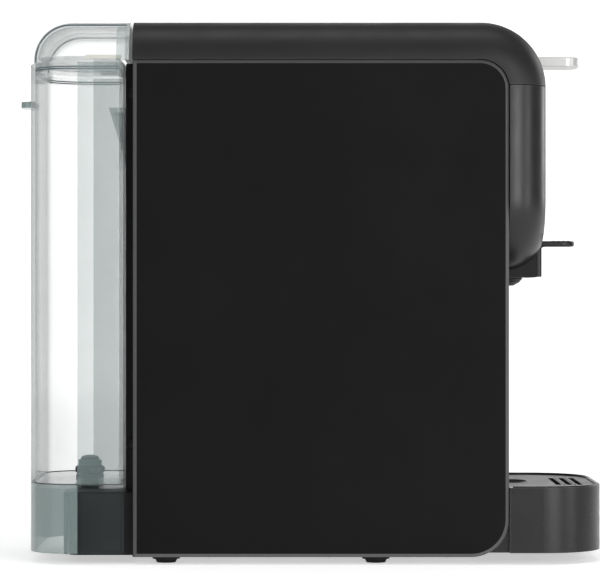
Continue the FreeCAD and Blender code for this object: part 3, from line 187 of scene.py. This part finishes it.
def stops(tree, source, pairs):
    """A value that runs straight between (place, value) pairs."""
    first, last = pairs[0][0], pairs[-1][0]
    ramp = tree.nodes.new("ShaderNodeValToRGB")
    elements = ramp.color_ramp.elements
    while len(elements) < len(pairs):
        elements.new(0.5)
    for element, (place, value) in zip(elements, pairs):
        element.position = (place - first) / (last - first)
    for element, (place, value) in zip(elements, pairs):
        element.color = (value, value, value, 1)
    tree.links.new(remap(tree, source, 0, 1, first, last), ramp.inputs["Fac"])
    return ramp.outputs["Color"]


def blend_colours(tree, share, first, second):
    mix = tree.nodes.new("ShaderNodeMix")
    mix.data_type = "RGBA"
    for socket, colour in ((mix.inputs["A"], first), (mix.inputs["B"], second)):
        if isinstance(colour, tuple):
            socket.default_value = colour
        else:
            tree.links.new(colour, socket)
    tree.links.new(share, mix.inputs["Factor"])
    return mix.outputs["Result"]


def bump(tree, height, strength, distance):
    node = add_node(tree, "ShaderNodeBump", Strength=strength, Distance=distance)
    tree.links.new(height, node.inputs["Height"])
    return node.outputs["Normal"]


EDGE_REACH = 0.0007     # how far from an edge it is worn


def edge_share(tree):
    """1 on sharp edges, 0 on flats: how far a rounded normal turns away from the true one."""
    rounded = add_node(tree, "ShaderNodeBevel", Radius=EDGE_REACH)
    turn = tree.nodes.new("ShaderNodeVectorMath")
    turn.operation = "DOT_PRODUCT"
    tree.links.new(rounded.outputs["Normal"], turn.inputs[0])
    tree.links.new(tree.nodes.new("ShaderNodeNewGeometry").outputs["Normal"], turn.inputs[1])
    return remap(tree, turn.outputs["Value"], 1, 0, 0.8, 0.985)


def new_material(name):
    material = bpy.data.materials.new(name)
    material.use_nodes = True
    tree = material.node_tree
    return material, tree, tree.nodes["Principled BSDF"]


def moulded(name, base, worn, roughness, grain=1400, depth=0.25, coat=0.0, spec=0.3):
    """Moulded plastic: spark-eroded grain, faint clouding, and edges rubbed a little lighter."""
    material, tree, shader = new_material(name)
    clouds = remap(tree, speckle(tree, 18), 0, 1)
    softer = tuple(channel * 1.2 for channel in base[:3]) + (1,)
    flat = blend_colours(tree, clouds, base, softer)
    colour = blend_colours(tree, edge_share(tree), flat, worn)
    tree.links.new(colour, shader.inputs["Base Color"])
    polish = remap(tree, speckle(tree, 60), roughness - 0.04, roughness + 0.05)
    tree.links.new(polish, shader.inputs["Roughness"])
    tree.links.new(bump(tree, speckle(tree, grain, 2), depth, 0.0001), shader.inputs["Normal"])
    shader.inputs["Coat Weight"].default_value = coat
    shader.inputs["Coat Roughness"].default_value = 0.12
    shader.inputs["Specular IOR Level"].default_value = spec
    return material


def brushed(name, base, roughness, along=(1, 60, 60), metallic=1.0, depth=0.15):
    """Brushed metal: fine scratches, long along the axis whose number in along is small."""
    material, tree, shader = new_material(name)
    stretch = tree.nodes.new("ShaderNodeMapping")
    stretch.inputs["Scale"].default_value = along
    tree.links.new(place_of(tree), stretch.inputs["Vector"])
    lines = add_node(tree, "ShaderNodeTexNoise", Scale=60, Detail=4)
    tree.links.new(stretch.outputs["Vector"], lines.inputs["Vector"])
    darker = tuple(channel * 0.82 for channel in base[:3]) + (1,)
    tree.links.new(blend_colours(tree, lines.outputs["Fac"], darker, base), shader.inputs["Base Color"])
    polish = remap(tree, lines.outputs["Fac"], roughness - 0.06, roughness + 0.08)
    tree.links.new(polish, shader.inputs["Roughness"])
    tree.links.new(bump(tree, lines.outputs["Fac"], depth, 0.0001), shader.inputs["Normal"])
    shader.inputs["Metallic"].default_value = metallic
    return material


def clear_plastic(name, face, painted_edge_shade, edge_alpha, above, below):
    """Clear styrene. Painted shade: where it is seen edge on it is coloured dark and made more opaque. Above
    and below a level its alpha runs along X, painting light and dense zones by position.
    """
    material, tree, shader = new_material(name)
    weight = add_node(tree, "ShaderNodeLayerWeight", Blend=0.3)
    share = remap(tree, weight.outputs["Facing"], 0, 1, 0.3, 0.95)
    # painted shade: the edge-on share blends the face colour towards a dark edge colour and raises alpha
    # towards edge_alpha
    tree.links.new(blend_colours(tree, share, face, painted_edge_shade), shader.inputs["Base Color"])
    apart = tree.nodes.new("ShaderNodeSeparateXYZ")
    tree.links.new(place_of(tree), apart.inputs["Vector"])
    level = remap(tree, apart.outputs["Z"], 0, 1, FLOOR_LEVEL - 0.0005, FLOOR_LEVEL + 0.0005)
    # painted light and shade: alpha zones along X stand in for refraction
    low, high = (stops(tree, apart.outputs["X"], pairs) for pairs in (below, above))
    haze = remap(tree, speckle(tree, 25), -0.01, 0.01)
    body = combine(tree, "ADD", blend_colours(tree, level, low, high), haze)
    alpha = tree.nodes.new("ShaderNodeMapRange")
    tree.links.new(share, alpha.inputs["Value"])
    tree.links.new(body, alpha.inputs["To Min"])
    alpha.inputs["To Max"].default_value = edge_alpha
    tree.links.new(alpha.outputs["Result"], shader.inputs["Alpha"])
    tree.links.new(remap(tree, speckle(tree, 40), 0.04, 0.1), shader.inputs["Roughness"])
    tree.links.new(bump(tree, speckle(tree, 30), 0.06, 0.0004), shader.inputs["Normal"])
    shader.inputs["IOR"].default_value = 1.49
    return material


FLOOR_LEVEL = 0.04      # the tank's skirt lies below this
# Alpha of the clear plastic, as (X, alpha): the tank above and below its floor, and the lid. These zones are
# painted light and shade, lighter and denser bands set by position where refraction makes them, not a real
# density.
TANK_ABOVE = (
    (-0.1487, 0.9), (-0.1413, 0.9), (-0.1411, 0.1), (-0.118, 0.035),
    (-0.1158, 0.035), (-0.1157, 0.29), (-0.0936, 0.26), (-0.0934, 0.03),
)
TANK_BELOW = ((-0.137, 0.55), (-0.1158, 0.42), (-0.1157, 0.03), (-0.0934, 0.03))
LID_ALPHA_PAINTED_REFRACTION = ((-0.137, 0.1), (-0.1158, 0.06), (-0.0965, 0.06), (-0.0963, 0.35), (-0.09, 0.35))


def panel_material():
    """Matt black panel, with a painted highlight: its bevelled margin, found by its slanted normal, is
    coloured lighter.
    """
    material, tree, shader = new_material("panel_matt_black")
    normal = tree.nodes.new("ShaderNodeNewGeometry")
    parts = tree.nodes.new("ShaderNodeSeparateXYZ")
    tree.links.new(normal.outputs["True Normal"], parts.inputs["Vector"])
    size = tree.nodes.new("ShaderNodeMath")
    size.operation = "ABSOLUTE"
    tree.links.new(parts.outputs["Y"], size.inputs[0])
    bevel_painted_highlight = remap(tree, size.outputs["Value"], 1, 0, 0.75, 0.95)
    clouds = remap(tree, speckle(tree, 14), 0, 1)
    flat = blend_colours(tree, clouds, tint(17, 17, 18), tint(21, 21, 22))
    # painted highlight: the bevel faces get a lighter grey, as if they caught the light
    tree.links.new(blend_colours(tree, bevel_painted_highlight, flat, tint(92, 92, 93)), shader.inputs["Base Color"])
    tree.links.new(remap(tree, speckle(tree, 70), 0.5, 0.6), shader.inputs["Roughness"])
    tree.links.new(bump(tree, speckle(tree, 1600, 2), 0.3, 0.0001), shader.inputs["Normal"])
    shader.inputs["Specular IOR Level"].default_value = 0.08
    return material


MATERIALS = {
    "case_black": panel_material(),
    "top_black": moulded("top_satin_black", tint(32, 32, 33), tint(72, 72, 73), 0.45),
    "head_black": moulded("head_gloss_black", tint(24, 24, 25), tint(62, 62, 64), 0.34, depth=0.1, spec=0.4),
    "fascia_black": moulded("fascia_matt_black", tint(22, 22, 23), tint(44, 44, 44), 0.55, spec=0.15),
    "housing_black": moulded("housing_satin_black", tint(18, 18, 19), tint(44, 44, 44), 0.45, spec=0.2),
    "drawer_black": moulded("drawer_satin_black", tint(22, 22, 23), tint(66, 66, 66), 0.32),
    "tray_black": moulded("tray_gloss_black", tint(16, 16, 17), tint(84, 84, 84), 0.28, depth=0.1, spec=0.4),
    "grille_black": moulded("grille_satin_black", tint(62, 62, 63), tint(150, 150, 150), 0.4),
    "lever_black": moulded("lever_satin_black", tint(38, 38, 39), tint(76, 76, 76), 0.4),
    "lever_metal": brushed("lever_satin_aluminium", tint(206, 206, 204), 0.34, metallic=0.35),
    "clear_tank": clear_plastic(
        "tank_clear_styrene", tint(138, 156, 154), tint(52, 68, 66), 0.85, TANK_ABOVE, TANK_BELOW,
    ),
    "clear_lid": clear_plastic(
        "lid_clear_styrene", tint(150, 168, 166), tint(60, 78, 76), 0.85, LID_ALPHA_PAINTED_REFRACTION, LID_ALPHA_PAINTED_REFRACTION,
    ),
    "valve_dark": moulded("valve_dark_nylon", tint(15, 22, 23), tint(40, 50, 50), 0.4),
    "valve_grey": moulded("valve_blue_grey", tint(60, 78, 88), tint(90, 105, 115), 0.4),
    "rubber_black": moulded(
        "rubber_black", tint(24, 24, 24), tint(40, 40, 40), 0.7, grain=900, depth=0.4, spec=0.15,
    ),
    "foot_black": moulded("foot_matt_black", tint(22, 22, 22), tint(44, 44, 44), 0.5, spec=0.2),
    "steel": brushed("brushed_steel", tint(150, 150, 148), 0.35),
    "frame_grey": moulded("frame_grey_nylon", tint(96, 96, 96), tint(130, 130, 130), 0.55),
    "chamber_grey": moulded("chamber_dark_nylon", tint(60, 60, 62), tint(90, 90, 92), 0.4),
    "pump_metal": brushed("pump_plated_steel", tint(170, 168, 160), 0.3, along=(60, 1, 60)),
    "block_metal": brushed("heater_cast_aluminium", tint(186, 186, 184), 0.5, along=(30, 30, 30), depth=0.3),
    "meter_white": moulded("meter_natural_nylon", tint(216, 214, 206), tint(235, 235, 230), 0.45),
    "board_green": moulded("board_green_mask", tint(28, 98, 52), tint(150, 130, 70), 0.3, coat=0.3),
    "relay_blue": moulded("relay_blue_case", tint(40, 70, 140), tint(80, 110, 170), 0.35),
    "button_black": moulded(
        "button_gloss_black", tint(24, 24, 25), tint(96, 96, 96), 0.2, depth=0.05, coat=0.4,
    ),
    "hose_white": moulded("hose_milky_silicone", tint(214, 214, 208), tint(230, 230, 226), 0.4),
    "float_red": moulded("float_red_plastic", tint(176, 34, 28), tint(210, 90, 80), 0.35),
}
SLOT_OF = {part["node"]: part["material_slot"] for part in frame["record"]["subparts"]}


def dress_nodes():
    """Gives each CAD node its slot's material."""
    for name, item in NODES.items():
        material = MATERIALS[SLOT_OF[name]]
        item.data.materials.clear()
        item.data.materials.append(material)


# ---------------------------------------------------------------- added pieces, in millimetres at rest


def block(shape, low, high):
    """A box between two corners."""
    low, high = Vector(low) * MM, Vector(high) * MM
    size = high - low
    place = Matrix.Translation((low + high) / 2) @ Matrix.Diagonal((*size, 1))
    bmesh.ops.create_cube(shape, size=1, matrix=place)


TURNS = {
    "x": Matrix.Rotation(math.radians(90), 4, "Y"),
    "y": Matrix.Rotation(math.radians(90), 4, "X"),
    "z": Matrix.Identity(4),
}


def barrel(shape, axis, centre, length, radius, end_radius=None, steps=32):
    """A round bar, or a cone, round its centre."""
    place = Matrix.Translation(Vector(centre) * MM) @ TURNS[axis]
    bmesh.ops.create_cone(
        shape, cap_ends=True, segments=steps, radius1=radius * MM,
        radius2=(radius if end_radius is None else end_radius) * MM, depth=length * MM, matrix=place,
    )


BEAD_SIDES = 10


def sweep(shape, points, radius, closed=False):
    """A round bead along a path."""
    path = [Vector(point) * MM for point in points]
    rings = []
    for i, point in enumerate(path):
        before = path[i - 1] if i or closed else point
        after = path[(i + 1) % len(path)] if i + 1 < len(path) or closed else point
        along = (after - before).normalized()
        steep = abs(along.z) > 0.9
        side = (along.orthogonal() if steep else along.cross(Vector((0, 0, 1)))).normalized()
        up = side.cross(along)
        spots = []
        for step in range(BEAD_SIDES):
            turn = 2 * math.pi * step / BEAD_SIDES
            spots.append(point + (side * math.cos(turn) + up * math.sin(turn)) * radius * MM)
        rings.append([shape.verts.new(spot) for spot in spots])
    pairs = list(zip(rings, rings[1:]))
    if closed:
        pairs.append((rings[-1], rings[0]))
    else:
        shape.faces.new(rings[0])
        shape.faces.new(list(reversed(rings[-1])))
    for first, second in pairs:
        for step in range(BEAD_SIDES):
            following = (step + 1) % BEAD_SIDES
            shape.faces.new((first[step], second[step], second[following], first[following]))


def ring(shape, axis, centre, radius, wire, start=0, end=360, steps=40):
    """A bead round an axis, whole or an arc in degrees."""
    whole = end - start >= 360
    spots = []
    for step in range(steps if whole else steps + 1):
        turn = math.radians(start + (end - start) * step / steps)
        across, up = radius * math.cos(turn), radius * math.sin(turn)
        offset = {"x": (0, across, up), "y": (across, 0, up), "z": (across, up, 0)}[axis]
        spots.append(Vector(centre) + Vector(offset))
    sweep(shape, spots, wire, closed=whole)


def plate(shape, axis, outline, low, high):
    """An outline made solid from low to high along an axis."""
    def spot(across, up, level):
        places = {"x": (level, across, up), "y": (across, level, up), "z": (across, up, level)}
        return Vector(places[axis]) * MM

    floor = [shape.verts.new(spot(*corner, low)) for corner in outline]
    roof = [shape.verts.new(spot(*corner, high)) for corner in outline]
    shape.faces.new(floor)
    shape.faces.new(list(reversed(roof)))
    for i in range(len(outline)):
        shape.faces.new((floor[i], floor[i - 1], roof[i - 1], roof[i]))


def arc(middle, radius, start, end, steps=8):
    """Points on an arc, in degrees."""
    turns = [math.radians(start + (end - start) * step / steps) for step in range(steps + 1)]
    return [(middle[0] + radius * math.cos(turn), middle[1] + radius * math.sin(turn)) for turn in turns]


def rounded(x, y, radius):
    """A rectangle with round corners."""
    low_x, high_x, low_y, high_y = x[0] + radius, x[1] - radius, y[0] + radius, y[1] - radius
    return (
        arc((high_x, high_y), radius, 0, 90) + arc((low_x, high_y), radius, 90, 180)
        + arc((low_x, low_y), radius, 180, 270) + arc((high_x, low_y), radius, 270, 360)
    )


def add_piece(name, body, slot, make, soften=0.25):
    """A mesh made by a function, with softened edges, riding on a body."""
    mesh = bpy.data.meshes.new(name)
    shape = bmesh.new()
    make(shape)
    bmesh.ops.recalc_face_normals(shape, faces=shape.faces[:])
    shape.to_mesh(mesh)
    shape.free()
    mesh.shade_smooth()
    piece = bpy.data.objects.new(name, mesh)
    bpy.context.scene.collection.objects.link(piece)
    bevel = piece.modifiers.new("softened", "BEVEL")
    bevel.width = soften * MM
    bevel.segments = 3
    bevel.limit_method = "ANGLE"
    bevel.harden_normals = True
    mesh.materials.append(MATERIALS[slot])
    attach(piece, body)


SIDES = (-1, 1)
BREW_AXIS = 101         # X of the nozzle, the drip hole and the float
WELL_AXIS = 99.5        # X of the drawer's pod well
DRAWER_TOP = 163.1      # Z just above the drawer's upper face
TAB_TOP = 162.7         # Z just above the finger tab
TRAY_EDGE = 38.45       # Z of the bead round the tray's rim
TRAY_FLOOR = (7.7, 8.8)         # Z of the foot and the top of the ribs on the tray's floor
GRILLE_TOP = 38         # Z of the grille's upper face
PUMP_LEVEL = 52         # Z of the pump's axis
WELD_LEVEL = 40.2       # Z where the tank's tube meets its floor
GASKET_LEVELS = (248.6, 249.6)
HINGE = (5, 259)        # X and Z of the lever's hinge pin
TANK_AXIS = -113.5      # X of the tank's valve
TANK_CORNER = (-118.05, 33)     # X and Y of the middle of the tank's rear corner
TRAY_CORNER = (117.65, 24.5)    # X and Y of the middle of the tray's front corner
LID_CORNER = (-120.5, 254)      # X and Z of the middle of the lid's rear rounding
ICON_LEVEL = 272.6      # Z of the middle of the button rings and icons
BOARD_FACE = -43.5      # Y of the control board's outer face
BUTTONS = {"left": (-38, 25), "right": (-38, -25), "power": (-66, 0)}


def drawer_pieces():
    def root(shape):
        inner, outer, top, radius, half = 119.2, 122.6, 160.2, 3.4, 12.6
        outline = [(inner, top), (outer, top)] + arc((outer, 156.6), radius, 90, 180)
        plate(shape, "y", outline, -half, half)
    add_piece("tab_root_fillet", "drawer", "drawer_black", root, 0.1)

    def grip(shape):
        for x in (127, 129.5, 132, 134.5):
            sweep(shape, [(x, -8, TAB_TOP), (x, 8, TAB_TOP)], 0.45)
    add_piece("tab_grip_ribs", "drawer", "drawer_black", grip, 0.05)

    def rim(shape):
        ring(shape, "z", (WELL_AXIS, 0, DRAWER_TOP), 13.9, 0.4)
    add_piece("pod_well_rim", "drawer", "drawer_black", rim, 0.05)


def lid_pieces():
    for side, name in zip(SIDES, ("right", "left")):
        def bar(shape, side=side):
            outline = rounded((-111.9, -93.4), (253.4, 255.2), 0.85)
            plate(shape, "y", outline, *sorted((side * 54.9, side * 55.95)))
        add_piece(f"lid_grip_{name}", "lid", "meter_white", bar, 0.2)

    # painted shade: dark grey lines drawn along the clear lid's outline, standing in for the dark edge the
    # clear plastic shows there
    def painted_edge_lines(shape):
        for y in (-36, 36):
            crown = [(x, y, z) for x, z in arc(LID_CORNER, 17.9, 180, 90, 12)]
            sweep(shape, [(-138.4, y, 252.8)] + crown + [(-92, y, 271.9)], 0.45)
    add_piece("lid_painted_edge_shade_lines", "lid", "valve_grey", painted_edge_lines, 0.05)

    def gasket(shape):
        outline = arc(TANK_CORNER, 20.45, 180, 90) + [(-95.45, 53.45)]
        loop = outline + [(x, -y) for x, y in reversed(outline)]
        for level in GASKET_LEVELS:
            sweep(shape, [(x, y, level) for x, y in loop], 0.3, closed=True)
    add_piece("lid_gasket", "lid", "valve_grey", gasket, 0.05)


def tank_pieces():
    def ribs(shape):
        for step in range(16):
            turn = math.radians(22.5 * step)
            x, y = TANK_AXIS + 7.2 * math.cos(turn), 7.2 * math.sin(turn)
            barrel(shape, "z", (x, y, 44.4), 2.6, 0.45, steps=8)
    add_piece("valve_ribs", "tank", "valve_dark", ribs, 0.05)

    def screen(shape):
        for level in (47.2, 48, 48.8):
            ring(shape, "z", (TANK_AXIS, 0, level), 6.0, 0.22)
    add_piece("valve_filter_rings", "tank", "valve_grey", screen, 0.05)

    def weld(shape):
        outline = arc(TANK_CORNER, 22.6, 180, 90) + arc((-95.85, 53), 2.6, 90, 0)
        loop = outline + [(x, -y) for x, y in reversed(outline)]
        sweep(shape, [(x, y, WELD_LEVEL) for x, y in loop], 0.3, closed=True)
    add_piece("tank_weld_bead", "tank", "valve_dark", weld, 0.05)


def tray_pieces():
    def bead(shape):
        half = arc(TRAY_CORNER, 30, 90, 0)
        path = [(102.2, 54.5)] + half
        path += [(x, -y) for x, y in reversed(path)]
        sweep(shape, [(x, y, TRAY_EDGE) for x, y in path], 0.8)
    add_piece("tray_rim_bead", "tray", "tray_black", bead, 0.05)

    def ribs(shape):
        low, high = TRAY_FLOOR
        for x in (74, 86, 116, 126, 136):
            block(shape, (x - 0.6, -34, low), (x + 0.6, 34, high))
        for y in (-18, 18):
            block(shape, (70, y - 0.6, low), (140, y + 0.6, high))
    add_piece("tray_floor_ribs", "tray", "tray_black", ribs, 0.2)

    def bars(shape):
        pitch, half = 5.35, 26.5
        for first in (128, 72):
            for step in range(2):
                x = first + pitch * (step + 0.5)
                sweep(shape, [(x, -half, GRILLE_TOP), (x, half, GRILLE_TOP)], 0.55)
        ring(shape, "z", (BREW_AXIS, 0, 38.05), 12.7, 0.5)
    add_piece("grille_bars", "grille", "grille_black", bars, 0.05)

    def stem(shape):
        barrel(shape, "z", (BREW_AXIS, 0, 29), 2.6, 3.2, 2.2)
        ring(shape, "z", (BREW_AXIS, 0, 22), 9, 0.35)
    add_piece("float_stem", "float", "float_red", stem)


def cup_icon(shape, middle, height):
    """A plain cup seen from the side: bowl, handle and saucer."""
    x, y = middle
    low, high = x + height / 2, x - height / 2
    left_side = [(high, y - 1.7), (low - 0.5, y - 1.3), (low, y - 0.8)]
    bowl = left_side + [(low, y + 0.8), (low - 0.5, y + 1.3), (high, y + 1.7)]
    plate(shape, "z", bowl, 272.3, 272.75)
    plate(shape, "z", rounded((low + 0.5, low + 0.9), (y - 2.2, y + 2.2), 0.18), 272.4, 272.85)
    ring(shape, "z", (x, y - 2.1, ICON_LEVEL), 0.8, 0.2, 120, 420, 20)


def button_pieces():
    for name, side, height in (("small", "left", 2.2), ("large", "right", 4)):
        add_piece(
            f"{name}_cup_icon", f"{side}_button", "meter_white",
            lambda shape, side=side, height=height: cup_icon(shape, BUTTONS[side], height), 0.05,
        )

    def power(shape):
        ring(shape, "z", (*BUTTONS["power"], ICON_LEVEL), 2.3, 0.28, 40, 320)
        block(shape, (-65.6, -0.3, 272.35), (-62.6, 0.3, 272.85))
    add_piece("power_icon", "power", "meter_white", power, 0.05)
    for name, body in (("left", "left_button"), ("right", "right_button"), ("power", "power")):
        add_piece(
            f"{name}_button_ring", body, "steel",
            lambda shape, name=name: ring(shape, "z", (*BUTTONS[name], ICON_LEVEL), 5.9, 0.22), 0.05,
        )


def lever_pieces():
    def caps(shape):
        for side in SIDES:
            barrel(shape, "y", (HINGE[0], side * 17.4, HINGE[1]), 1.2, 4.2)
            barrel(shape, "y", (HINGE[0], side * 18.2, HINGE[1]), 0.8, 2.4)
    add_piece("hinge_pin_caps", "root", "steel", caps)

    def grooves(shape):
        for x in (22, 26, 30):
            block(shape, (x, -7, 272.6), (x + 1, 7, 272.95))
    add_piece("inlay_ribs", "lever", "lever_metal", grooves, 0.15)


def inner_pieces():
    def coil(shape):
        for step in range(22):
            ring(shape, "x", (-39 + 0.95 * step, 0, PUMP_LEVEL), 19.2, 0.5)
    add_piece("pump_windings", "root", "pump_metal", coil, 0.05)

    def ends(shape):
        for x in (-65, -61, -57, -2, 2, 6):
            ring(shape, "x", (x, 0, PUMP_LEVEL), 19.1, 0.7)
        for y in (-6, 6):
            block(shape, (-34, y - 1.5, 70.5), (-30, y + 1.5, 77))
    add_piece("pump_end_ribs", "root", "frame_grey", ends, 0.2)

    def fittings(shape):
        barrel(shape, "z", (30, 0, 179.5), 6, 6.4, steps=6)
        barrel(shape, "z", (30, 0, 183.5), 2, 4.6)
        barrel(shape, "y", (22, -26.5, 140), 5, 6.4, steps=6)
        for z in (120, 158):
            barrel(shape, "y", (2, -24.8, z), 2, 8)
            barrel(shape, "y", (2, -26.4, z), 1.4, 5.5)
        for z in (108, 126, 144, 162, 172):
            block(shape, (-21, -18, z), (-19.6, 18, z + 2.4))
            block(shape, (37.6, -18, z), (39, 18, z + 2.4))
    add_piece("boiler_fittings", "root", "block_metal", fittings, 0.4)

    def chips(shape):
        for x, z, length, height in (
            (-74, 150, 14, 8), (-54, 150, 9, 9), (-74, 166, 20, 10), (-24, 176, 10, 12),
        ):
            block(shape, (x, BOARD_FACE, z), (x + length, -41.6, z + height))
        for step in range(8):
            block(shape, (-76 + 7 * step, BOARD_FACE, 106), (-71.5 + 7 * step, -37, 113))
    add_piece("board_chips", "root", "rubber_black", chips, 0.2)

    def cans(shape):
        for x, z, radius in ((-40, 154, 5), (-27, 154, 5), (-42, 168, 4), (-30, 168, 3.2)):
            barrel(shape, "y", (x, -39, z), 9, radius)
            ring(shape, "y", (x, -35.6, z), radius - 0.2, 0.35)
        for step in range(6):
            block(shape, (-44 + 2.4 * step, BOARD_FACE, 178), (-43.2 + 2.4 * step, -33, 190))
    add_piece("board_capacitors", "root", "steel", cans, 0.2)

    def clamps(shape):
        for centre, axis in (
            ((TANK_AXIS, 0, 17.5), "z"), ((-58, -19, 13), "y"), ((-58, -34, 29), "z"),
            ((-58, -30, PUMP_LEVEL), "y"), ((12, 0, PUMP_LEVEL), "x"),
            ((22, -29, 140), "y"), ((76, 0, 200), "x"),
        ):
            ring(shape, axis, centre, 3.3, 0.6)
    add_piece("hose_clamps", "root", "steel", clamps, 0.05)


def outside_pieces():
    def underside(shape):
        for x in (-50, -20, 10, 50, 70):
            block(shape, (x - 0.7, -46, 2.9), (x + 0.7, 46, 3.9))
        for y in (-20, 20):
            block(shape, (-82, y - 0.7, 2.9), (80, y + 0.7, 3.9))
    add_piece("base_ribs", "root", "foot_black", underside, 0.2)

    def collar(shape):
        ring(shape, "z", (-60, 30, 3.4), 5.6, 0.7)
        ring(shape, "z", (-60, 30, 2.6), 4.6, 0.5)
    add_piece("gland_collar", "root", "rubber_black", collar, 0.05)

    def treads(shape):
        for x in (-72, 34):
            for y in (-40, 40):
                for radius in (1.6, 3.2):
                    ring(shape, "z", (x, y, 0.35), radius, 0.3)
    add_piece("foot_treads", "root", "rubber_black", treads, 0.05)

    def plate_back(shape):
        plate(shape, "x", rounded((-24, 24), (140, 170), 3), -88.8, -88.3)
    add_piece("rear_blank_plate", "root", "steel", plate_back, 0.15)

    def caps(shape):
        for side in SIDES:
            low, high = sorted((side * 28, side * 41))
            block(shape, (-92.3, low, 249.7), (-88.5, high, 251.9))
    add_piece("rail_caps", "root", "rubber_black", caps, 0.3)

    def seams(shape):
        for side in SIDES:
            inner, outer = sorted((side * 54.2, side * 53.2))
            block(shape, (-86, inner, 252.4), (84, outer, 253.6))
            block(shape, (-88.2, inner, 6), (-87, outer, 250))
    add_piece("seam_seals", "root", "rubber_black", seams, 0.1)

    def lip(shape):
        ring(shape, "z", (BREW_AXIS, 0, 140.1), 3.2, 0.4)
        ring(shape, "z", (BREW_AXIS, 0, 143.4), 9.9, 0.35)
    add_piece("nozzle_lips", "root", "housing_black", lip, 0.05)


add_camera()
add_studio()
add_floor()
dress_nodes()
drawer_pieces()
lid_pieces()
tank_pieces()
tray_pieces()
button_pieces()
lever_pieces()
inner_pieces()
outside_pieces()
